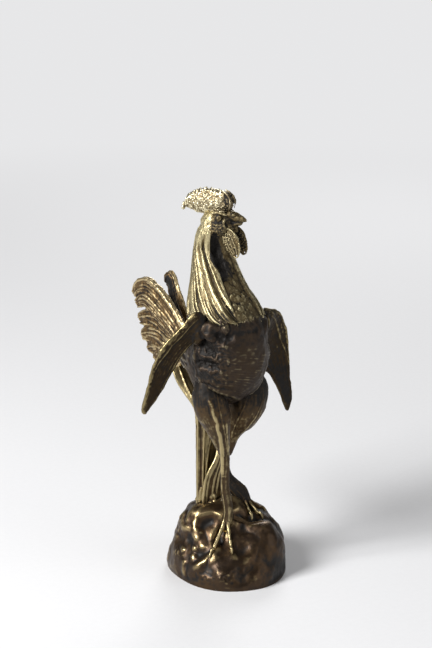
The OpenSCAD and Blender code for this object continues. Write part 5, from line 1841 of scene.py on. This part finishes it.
@dataclass
class Plumes(Casting):
    """The thin strands on the right and the leaf-shaped plume on the left, down to the rock."""

    base: RockBase
    clear: float = 53
    half_body: float = 20
    rump: float = 31
    width: float = 7
    thick: float = 2.6
    foot_share: tuple = (-0.27, 0.35)
    right: tuple = (
        (
            ((-0.63, 0.87, 1.275), (-0.58, 0.7, 1.14), (-0.48, 0.48, 0.98), (-0.45, 0.41, 0.83)),
            ((-0.147, 0.144, 0.46), (-0.119, 0.079, -0.05)),
        ),
        (
            ((-0.5, 0.85, 1.25), (-0.45, 0.66, 1.11), (-0.39, 0.45, 0.98), (-0.36, 0.37, 0.8)),
            ((0.11, -0.024, 0.46), (0.11, -0.056, -0.05)),
        ),
    )
    left: tuple = (
        (
            ((0.6, 0.81, 1.21), (0.45, 0.64, 1.02), (0.22, 0.38, 0.75)),
            ((1.024, -0.897, 0.45), (0.567, -0.764, 0.21), (0.396, -0.676, -0.05)),
        ),
        (
            ((0.23, 0.43, 0.8), (-0.05, 0.41, 0.67)),
            ((0.77, 0, 0.51), (0.68, -0.05, 0.28), (0.6, -0.1, -0.05)),
        ),
    )
    right_widths: tuple = (0.9, 0.95, 0.8, 0.46, 0.36, 0.6)
    left_widths: tuple = ((1, 0.85, 0.65, 0.85, 1.75, 1.7), (0.6, 1.0, 1.15, 1.1, 0.9))

    def path(self, rows: tuple, t: Rows) -> Rows:
        """Middle line of one plume, from rows against the body and rows against its foot."""
        upper = np.array(rows[0]) * [self.half_body, self.rump, self.clear] + [0, 0, self.base.height]
        lower = self.base.stand(self.foot_share) + np.array(rows[1]) * [self.width, self.width, self.clear]
        return spline(np.vstack([upper, lower]), t)

    def strands(self, rows: tuple, widths: tuple, count: int, seed: int, twist: float = 0.9) -> list[Shell]:
        """One plume: its flat body and the strands twisted along it.

        Args:
            rows: Its path.
            widths: Its widths, as shares of the plume's.
            count: How many strands.
            seed: Which draw.
            twist: How far the strands turn.

        Returns:
            The body and the strands.
        """
        t, flat = np.linspace(0, 1, 60), (0, 1, 0.3)
        path = self.path(rows, t)
        wide = self.width * spline(widths, t)
        across, face = axes(path, flat)
        rng = np.random.default_rng(seed)
        paths, girths = [], []
        for k in range(count):
            phase = 2 * math.pi * k / count + rng.uniform(-0.3, 0.3)
            turn = phase + twist * np.sin(2.4 * t + phase)
            aside, up = np.cos(turn) * wide / 2, np.sin(turn) * self.thick / 2
            paths.append(path + (across * aside[:, None] + face * up[:, None]) * 0.86)
            girths.append((0.3 + 0.16 * twist + 0.04 * wide) * (0.85 + 0.2 * np.sin(11 * t + 3 * k)))
        return [sweep(path, wide, np.full(60, self.thick), flat, 18), self.shop.cords(paths, girths)]

    def knobs(self, rows: tuple, rise: float, size: float, seed: int) -> list[Shell]:
        """Lumps of feather tips where a plume meets the rock.

        Args:
            rows: The plume's path.
            rise: Height over the path's end.
            size: Size of the largest.
            seed: Which draw.

        Returns:
            The lumps.
        """
        at = self.path(rows, 1.0)[0] + [0, 0, rise]
        rng = np.random.default_rng(seed)
        shells = [lump(at + [0, 0, size * 0.5], (size, size, size * 1.1))]
        for k in range(5):
            a = 2 * math.pi * k / 5 + rng.uniform(-0.3, 0.3)
            spot = at + size * 0.5 * np.array([math.cos(a), math.sin(a), rng.uniform(-0.1, 0.5)])
            shells.append(lump(spot, size * rng.uniform(0.42, 0.66, 3)))
        return shells

    def piece(self, shells: list[Shell], name: str, voxel: float, seed: int, shine: float) -> None:
        """Casts one plume.

        Args:
            shells: Its shells.
            name: Its name.
            voxel: Size of its faces.
            seed: Which noise.
            shine: How much brighter it is rubbed.
        """
        skin = cast(shells, voxel)
        skin = skin.pushed(0.12 * clay(skin.points, 2.2, seed))
        wear_and_painted_light = shine + 0.2 * ease(skin.points[:, 2], 74, 92)
        self.shop.finish(skin, name, name, self.coat, wear_and_painted_light, skin.points * [1, 1, 0.14])

    def build(self) -> None:
        """Both plume castings."""
        shells = []
        for seed, rows in enumerate(self.right):
            shells += self.strands(rows, self.right_widths, 5, 91 + seed)
            shells += self.knobs(rows, 1.5, 3.4, 93 + seed)
        foot = self.base.stand(self.foot_share)
        shells.append(taper([foot - [0, 0, 1], foot + [0, 0, 2], foot + [0, 0, 7.5]], [6.2, 5.2, 3.0], 8))
        self.piece(shells, "right_plumes", 0.28, 95, 0.12)
        shells = self.strands(self.left[0], self.left_widths[0], 15, 96, 0.12)
        shells += self.strands(self.left[1], self.left_widths[1], 5, 99)
        shells += self.knobs(self.left[0], 1.8, 5.6, 97)
        self.piece(shells, "left_plume", 0.30, 98, 0.20)


@dataclass
class Leg(Casting):
    """One leg: feathered thigh, corded shank, toes and claws."""

    side: Side
    base: RockBase
    thigh: tuple
    thigh_widths: tuple
    foot_share: tuple
    toes: tuple
    streaks: tuple
    ridges: tuple
    stout: tuple
    slip: float
    shade: float
    clear: float = 53
    half_width: float = 20
    half_depth: float = 21.5
    girth: float = 20
    shank: float = 4.6
    toe: float = 17
    toe_width: float = 3
    voxel: float = 0.3

    def hip_to_hock(self, t: Rows) -> tuple[Rows, Rows]:
        """Middle line of the thigh, and its full width there."""
        half = [self.half_width, self.half_depth, self.clear]
        path = spline(self.thigh, t) * half + [0, 0, self.base.height]
        return path, self.girth * spline(self.thigh_widths, t)

    def feathers(self) -> Shell:
        """Soft feathery ridges down the thigh.

        Returns:
            The ridges as one shell.
        """
        t = np.linspace(0.2, 1, 30)
        path, wide = self.hip_to_hock(t)
        across, up = axes(path, (0, 1, 0))
        paths, girths = [], []
        for phase, strong in self.streaks:
            c, s = polar(phase + 14 * np.sin(3 * t))
            ring = across * c[:, None] + up * s[:, None]
            paths.append(path + ring * (wide / 2 - 0.35 * strong)[:, None])
            girths.append(strong * (0.9 - 0.3 * t) * np.sin((0.08 + 0.9 * (t - 0.2) / 0.8) * math.pi) ** 0.5)
        return self.shop.cords(paths, girths)

    def shank_shells(self) -> list[Shell]:
        """The shank with its edge cords and spur.

        Returns:
            The shells.
        """
        hock, foot = self.hip_to_hock(1.0)[0][0], self.base.stand(self.foot_share)
        bend = np.array([-0.5, 1, 0]) * self.shank / 4
        up = np.array([0, 0, self.shank])
        line = [hock + up, hock, (hock + foot) / 2 + bend, foot + up, foot - [0, 0, 2.4]]
        t = np.linspace(0, 1, 40)
        aside = np.array([0.819, -0.574, 0]) * self.slip
        path = spline(line, t) + np.outer(ease(t, 0.08, 0.36) * (1 - ease(t, 0.62, 0.95)), aside)
        wide = self.shank * spline(self.stout, t)
        shells = [sweep(path, wide, wide * 0.97, (0, 1, 0), 20)]
        for turn, girth in ((-0.3, 0.62), (-2.2, 0.42), (-4.4, 0.36)):
            cord = path + unit(np.array([-0.95, turn, 0.0])) * (wide / 2 - 0.2)[:, None]
            uneven = 1 + 0.1 * np.sin(t[6:36] * 60 + 5 * girth)
            shells.append(self.shop.cords([cord[6:36]], [girth * uneven]))
        heel, back = path[31], np.array([0.35, 0.94, 0.1])
        spur = [heel, heel + back * 2.6, heel + back * 4.6 + [0, 0, 0.8]]
        return [*shells, taper(spur, [2.2, 1.6, 0.7], 8)]

    def toe_shells(self) -> list[Shell]:
        """Toes with their joints and claws, following the ground.

        Returns:
            The shells.
        """
        foot, reach = self.base.stand(self.foot_share), np.linspace(0, 1, 13)
        shells = [lump(foot + [0, 0, 1.0], (5.4, 5.8, 4.2))]
        for angle, share in self.toes:
            c, s = math.cos(math.radians(angle)), math.sin(math.radians(angle))
            xy = foot[:2] + np.outer(reach * share * self.toe, [c, s])
            lift = np.interp(reach, [0, 0.22, 0.65, 1], [1.55, 0.62, 0.38, 0.3]) * self.toe_width
            sunk = 1.3 if share > 0.9 else 0.7
            path = np.column_stack([xy, [self.base.top(x, y) for x, y in xy] + lift - sunk])
            path[1:-1] = (path[:-2] + path[1:-1] * 2 + path[2:]) / 4
            joints = 1 + 0.1 * np.cos(reach * math.pi * 2 * 2.5)
            wide = self.toe_width * np.interp(reach, [0, 0.3, 1], [0.8, 0.6, 0.5]) * joints
            shells.append(sweep(path, wide, wide * 1.5, (c, s, 3.0), 14))
            tip, out = path[-1], np.array([c, s, 0.0])
            end = foot[:2] + (share * self.toe * 1.25) * np.array([c, s])
            hook = np.array([*end, self.base.top(*end) - 0.2])
            bent = (tip + out * 3.4 - [0, 0, 0.3] + hook) / 2
            claw = [tip - out * 0.6, tip + out * 1.6 + [0, 0, 0.5], bent, hook]
            shells.append(taper(claw, [1.9, 1.6, 1.1, 0.5]))
        return shells

    def build(self) -> None:
        """The leg casting."""
        path, wide = self.hip_to_hock(np.linspace(0, 1, 40))
        thigh = sweep(path, wide, wide, (0, 1, 0), 32)
        skin = cast([thigh, self.feathers(), *self.shank_shells(), *self.toe_shells()], self.voxel)
        p = skin.points
        x, y, z = p.T
        downy = clays(p * [1, 1, 0.22], (0.13, 1.4, 103)) + clays(p, (0.07, 1.3, 106))
        push = 0.24 * clay(p, 3, 102) + downy * ease(z, 60, 72)
        push += 0.05 * clay(p, 1.0, 104)
        bright = np.zeros(len(p))
        for route, reach, height in self.ridges:
            fold = swell(p + 0.5 * clay(p, 4, 105)[:, None], route, reach, 1.0)
            push += height * fold
            bright = np.maximum(bright, fold)
        # Brighter along the ridges, partly rubbed and partly a painted highlight; painted shade on the shank,
        # set by shade; a painted shadow over the top of the thigh under the body; darker on the toes towards
        # the bird's left.
        wear_and_painted_light = 0.22 * bright + self.shade * (1 - ease(z, 58, 68)) * ease(z, 33, 38)
        wear_and_painted_light -= 0.42 * ease(z + 4 * clay(p, 6, 107), 80, 97) * (1 - bright)
        wear_and_painted_light -= 0.32 * ease(x - self.base.stand(self.foot_share)[0], 1.5, 4) * (1 - ease(z, 33, 38))
        skin = skin.pushed(push)
        label = f"{self.side.label}_leg"
        self.shop.finish(skin, label, label, self.coat, wear_and_painted_light, skin.points * [1, 1, 0.18])


@dataclass
class Fixings:
    """Plug, studs, washers, nuts and pins; their solids stay and are only given materials."""

    bronze: Material

    def build(self) -> None:
        """Dresses each fixing in steel, brass or bronze."""
        steel = Turned("turned_steel", "a8a6a2", "5c544a", 0.34).make()
        brass = Turned("turned_brass", "b08d4c", "6b4f26", 0.36).make()
        dressed = (
            (("studs", "neck_pins", "wing_pins", "tail_pins", "hip_pins"), steel),
            (("washers", "nuts"), brass),
            (("core_plug",), self.bronze),
        )
        for names, material in dressed:
            for name in names:
                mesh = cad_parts[name].data
                mesh.materials.clear()
                mesh.materials.append(material)
                log.info("%s: keeps its solid, finished in %s", name, material.name)


@dataclass
class Studio:
    """Pale floor, soft light and the camera."""

    aim: tuple = (-4.7, 3.3, 130.4)
    azimuth: float = -35
    elevation: float = 15
    distance: float = 900
    lens: float = 100
    lamps: tuple = (
        ("key", (-1.05, 0.05, 0.85), 0.55, 26),
        ("fill", (0.75, -1.2, 0.7), 1.2, 6),
        ("rim", (0.9, 0.9, 0.8), 0.6, 8),
    )

    def stand(self, name: str, data: ID, at: Vector, facing: Vector) -> Object:
        """A camera or lamp at a place in metres, turned to face along a direction.

        Args:
            name: Its name.
            data: The camera or lamp.
            at: Its place in metres.
            facing: The direction.

        Returns:
            The object.
        """
        made = linked(name, data)
        made.location = at
        made.rotation_mode = "QUATERNION"
        made.rotation_quaternion = facing.to_track_quat("-Z", "Y")
        return made

    def camera(self) -> None:
        """The camera, at the photograph's viewing angle."""
        data = bpy.data.cameras.new("camera")
        data.lens, data.sensor_width = self.lens, 36
        a, e = math.radians(self.azimuth), math.radians(self.elevation)
        back = Vector((math.sin(a) * math.cos(e), -math.cos(a) * math.cos(e), math.sin(e)))
        at = (Vector(self.aim) + back * self.distance) * MM
        bpy.context.scene.camera = self.stand("camera", data, at, -back)

    def lamp(self, name: str, at: tuple, size: float, power: float) -> None:
        """One soft lamp, facing the figure.

        Args:
            name: The lamp's name.
            at: Its place in metres.
            size: Its width in metres.
            power: Its power in watts.
        """
        data = bpy.data.lights.new(name, "AREA")
        data.shape, data.size, data.energy = "SQUARE", size, power
        self.stand(name, data, Vector(at), Vector((0, 0, 0.11)) - Vector(at))

    def floor(self) -> None:
        """The floor: pale paper near the figure, and plain pale light for the camera far from it."""
        corners = np.array([[-9, -9, 0], [9, -9, 0], [9, 9, 0], [-9, 9, 0]], float) / MM
        floor = linked("floor", Shell.of(corners, [(0, 1, 2, 3)]).mesh("floor"))
        bench = Bench("floor_paper")
        shade = bench.blend(bench.noise(3, 2), (0.72, 0.72, 0.73, 1), (0.76, 0.76, 0.77, 1))
        bench.shade({"Base Color": shade, "Roughness": 0.8})
        seen = 0.0
        for ray in ("Is Camera Ray", "Is Glossy Ray", "Is Transmission Ray"):
            seen = bench.add("ShaderNodeLightPath", {}, {}, ray) + seen
        reach = bench.add("ShaderNodeVectorMath", {"operation": "LENGTH"}, {0: bench.place()}, "Value")
        paper = bench.add("ShaderNodeEmission", {}, {"Color": (0.80, 0.80, 0.81, 1)})
        inputs = {0: reach.step(0.5, 1.4) * seen, 1: bench.shader.outputs[0], 2: paper}
        mix = bench.add("ShaderNodeMixShader", {}, inputs)
        join(bench.tree, bench.tree.nodes["Material Output"].inputs["Surface"], mix)
        floor.data.materials.append(bench.material)

    def build(self) -> None:
        """Camera, lamps, world and floor."""
        self.camera()
        for lamp in self.lamps:
            self.lamp(*lamp)
        world = bpy.data.worlds.new("studio")
        world.use_nodes = True
        world.node_tree.nodes["Background"].inputs["Color"].default_value = (0.10, 0.10, 0.10, 1)
        bpy.context.scene.world = world
        bpy.context.scene.view_settings.view_transform = "Standard"
        self.floor()


# The finishes, and the measures in which the two sides differ

ROCK = Bronze("base_patina", Slot.BASE, "40342a", "4f3d2b", "a8946c", -0.05, 0.30, 0.40, streaky=0.06)
BODY = Bronze("torso_patina", Slot.BODY, "3a312a", "43372b", "857a60", -0.08)
LEGS = Bronze("leg_patina", Slot.BODY, "463a2c", "57452f", "ab9b73", -0.01)
CAPE = Bronze("neck_patina", Slot.RUBBED, "625740", "6a5a3c", "bdb18a", 0.05, 0.42, pitting=0.6, streaky=0.75)
COMB = Bronze("comb_patina", Slot.RUBBED, "746850", "7a6a4c", "d8ceac", 0.05, streaky=0.1)
WING = Bronze("wing_patina", Slot.WING, "31281c", "3e3122", "8a7c58", -0.06, streaky=0.4)
TAIL = Bronze("tail_patina", Slot.TAIL, "5a4931", "705838", "b8a57e", 0.02, smooth=0.40, streaky=0.6)

RIGHT_WING = (
    (
        (0, -0.31, 0.06), (0.19, -0.31, 0.117), (0.45, -0.08, -0.064), (0.715, 0.08, -0.213),
        (0.89, 0.31, -0.432), (0.99, 0.46, -0.706), (1.055, 0.62, -0.909), (1, 0.62, -0.975),
    ),
    (
        (0, -0.6, -0.15), (0.02, -0.62, -0.15), (0.13, -0.15, -0.2), (0.36, 0.15, -0.39),
        (0.54, 0.38, -0.61), (0.75, 0.54, -0.81), (0.95, 0.62, -0.945), (0.99, 0.62, -0.98),
    ),
)
LEFT_WING = (
    (
        (0, -0.31, 0.033), (0.4, -0.08, -0.017), (0.63, 0.08, -0.083), (0.82, 0.23, -0.24),
        (0.92, 0.38, -0.427), (0.99, 0.46, -0.65), (1.11, 0.62, -0.883), (1, 0.62, -1.005),
    ),
    (
        (0, -0.6, -0.18), (0.02, -0.46, -0.23), (0.075, 0, -0.34), (0.185, 0.38, -0.45),
        (0.43, 0.62, -0.583), (0.59, 0.62, -0.655), (0.8, 0.62, -0.817), (0.98, 0.62, -1),
    ),
)
RIGHT_TAIL = (
    ((0, 0.32), (0.08, 0.48), (0.34, 0.69), (0.66, 0.86), (0.88, 0.83), (0.98, 0.72)),
    ((0, 0.32), (0.14, 0.41), (0.44, 0.6), (0.74, 0.72), (0.93, 0.64)),
    ((0, 0.32), (0.25, 0.41), (0.58, 0.54), (0.9, 0.48)),
)
LEFT_TAIL = (
    ((0, 0.32), (0.32, 0.32), (0.58, 0.43), (0.78, 0.68), (0.88, 0.88), (0.97, 0.79)),
    ((0, 0.32), (0.32, 0.29), (0.6, 0.4), (0.8, 0.58), (0.93, 0.66)),
    ((0, 0.32), (0.3, 0.3), (0.6, 0.4), (0.88, 0.46)),
)
RIGHT_LEG = {
    "thigh": (
        (-0.62, 0.02, 1.42), (-0.63, -0.05, 1.15), (-0.56, -0.14, 0.98),
        (-0.48, -0.22, 0.84), (-0.4, -0.28, 0.68), (-0.33, -0.3, 0.547),
    ),
    "thigh_widths": (0.3, 0.8, 0.84, 0.68, 0.42, 0.27),
    "foot_share": (-0.22, -0.27),
    "toes": ((202, 0.74), (246, 0.6), (336, 0.98), (60, 0.45)),
    "streaks": ((262, 0.8), (200, 0.6), (170, 0.7)),
    "ridges": (
        (((-16.6, -8.6, 95), (-14.6, -10.4, 85.5), (-11.4, -9.8, 75.3), (-8.5, -8, 64.1), (-8.2, -8.4, 54)),
         1.05, 1.2),
        (((-9.6, -14.6, 92), (-9, -13.6, 84), (-7, -11.4, 74), (-5.6, -9.8, 66)), 1.2, 0.7),
    ),
    "stout": (1.15, 1.08, 1.06, 1.14, 1.4),
    "slip": 0.8,
    "shade": -0.10,
}
LEFT_LEG = {
    "thigh": (
        (0.62, 0.02, 1.42), (0.65, -0.06, 1.15), (0.59, -0.02, 0.98),
        (0.46, 0.12, 0.8), (0.34, 0.22, 0.66), (0.2, 0.31, 0.44),
    ),
    "thigh_widths": (0.3, 0.9, 1, 0.8, 0.46, 0.26),
    "foot_share": (0.34, 0),
    "toes": ((254, 0.62), (284, 0.6), (318, 0.5), (100, 0.42)),
    "streaks": ((250, 0.7), (300, 0.6), (30, 0.7)),
    "ridges": ((((18.6, -6.4, 96), (19.4, -4.6, 88), (16.4, -2.4, 78), (11.4, 0.6, 68)), 1.3, 0.8),),
    "stout": (1.15, 1.15, 1.45, 1.8, 1.7),
    "slip": -3.2,
    "shade": -0.46,
}


def main() -> None:
    """Builds the figure piece by piece and dresses it."""
    logging.basicConfig(level=logging.INFO, format="%(message)s")
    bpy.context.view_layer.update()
    Studio().build()
    finishes = (ROCK, BODY, LEGS, CAPE, COMB, WING, TAIL)
    rock, body, legs, cape, comb, wing, tail = [finish.make() for finish in finishes]
    shop = Workshop(body.material)
    base = RockBase(shop, rock)
    neck = Neck(shop, cape)
    for part in (
        base,
        Torso(shop, body),
        neck,
        Comb(shop, comb, neck),
        Wattle(shop, cape, neck, Side.RIGHT),
        Wattle(shop, cape, neck, Side.LEFT),
        Wing(shop, wing, Side.RIGHT, 47, *RIGHT_WING),
        Wing(shop, wing, Side.LEFT, 60, *LEFT_WING),
        TailFan(shop, tail, Side.RIGHT, RIGHT_TAIL),
        TailFan(shop, tail, Side.LEFT, LEFT_TAIL),
        Plumes(shop, legs, base),
        Leg(shop, legs, Side.RIGHT, base, **RIGHT_LEG),
        Leg(shop, legs, Side.LEFT, base, **LEFT_LEG),
        Fixings(body.material),
    ):
        part.build()


if __name__ == "__main__":
    main()
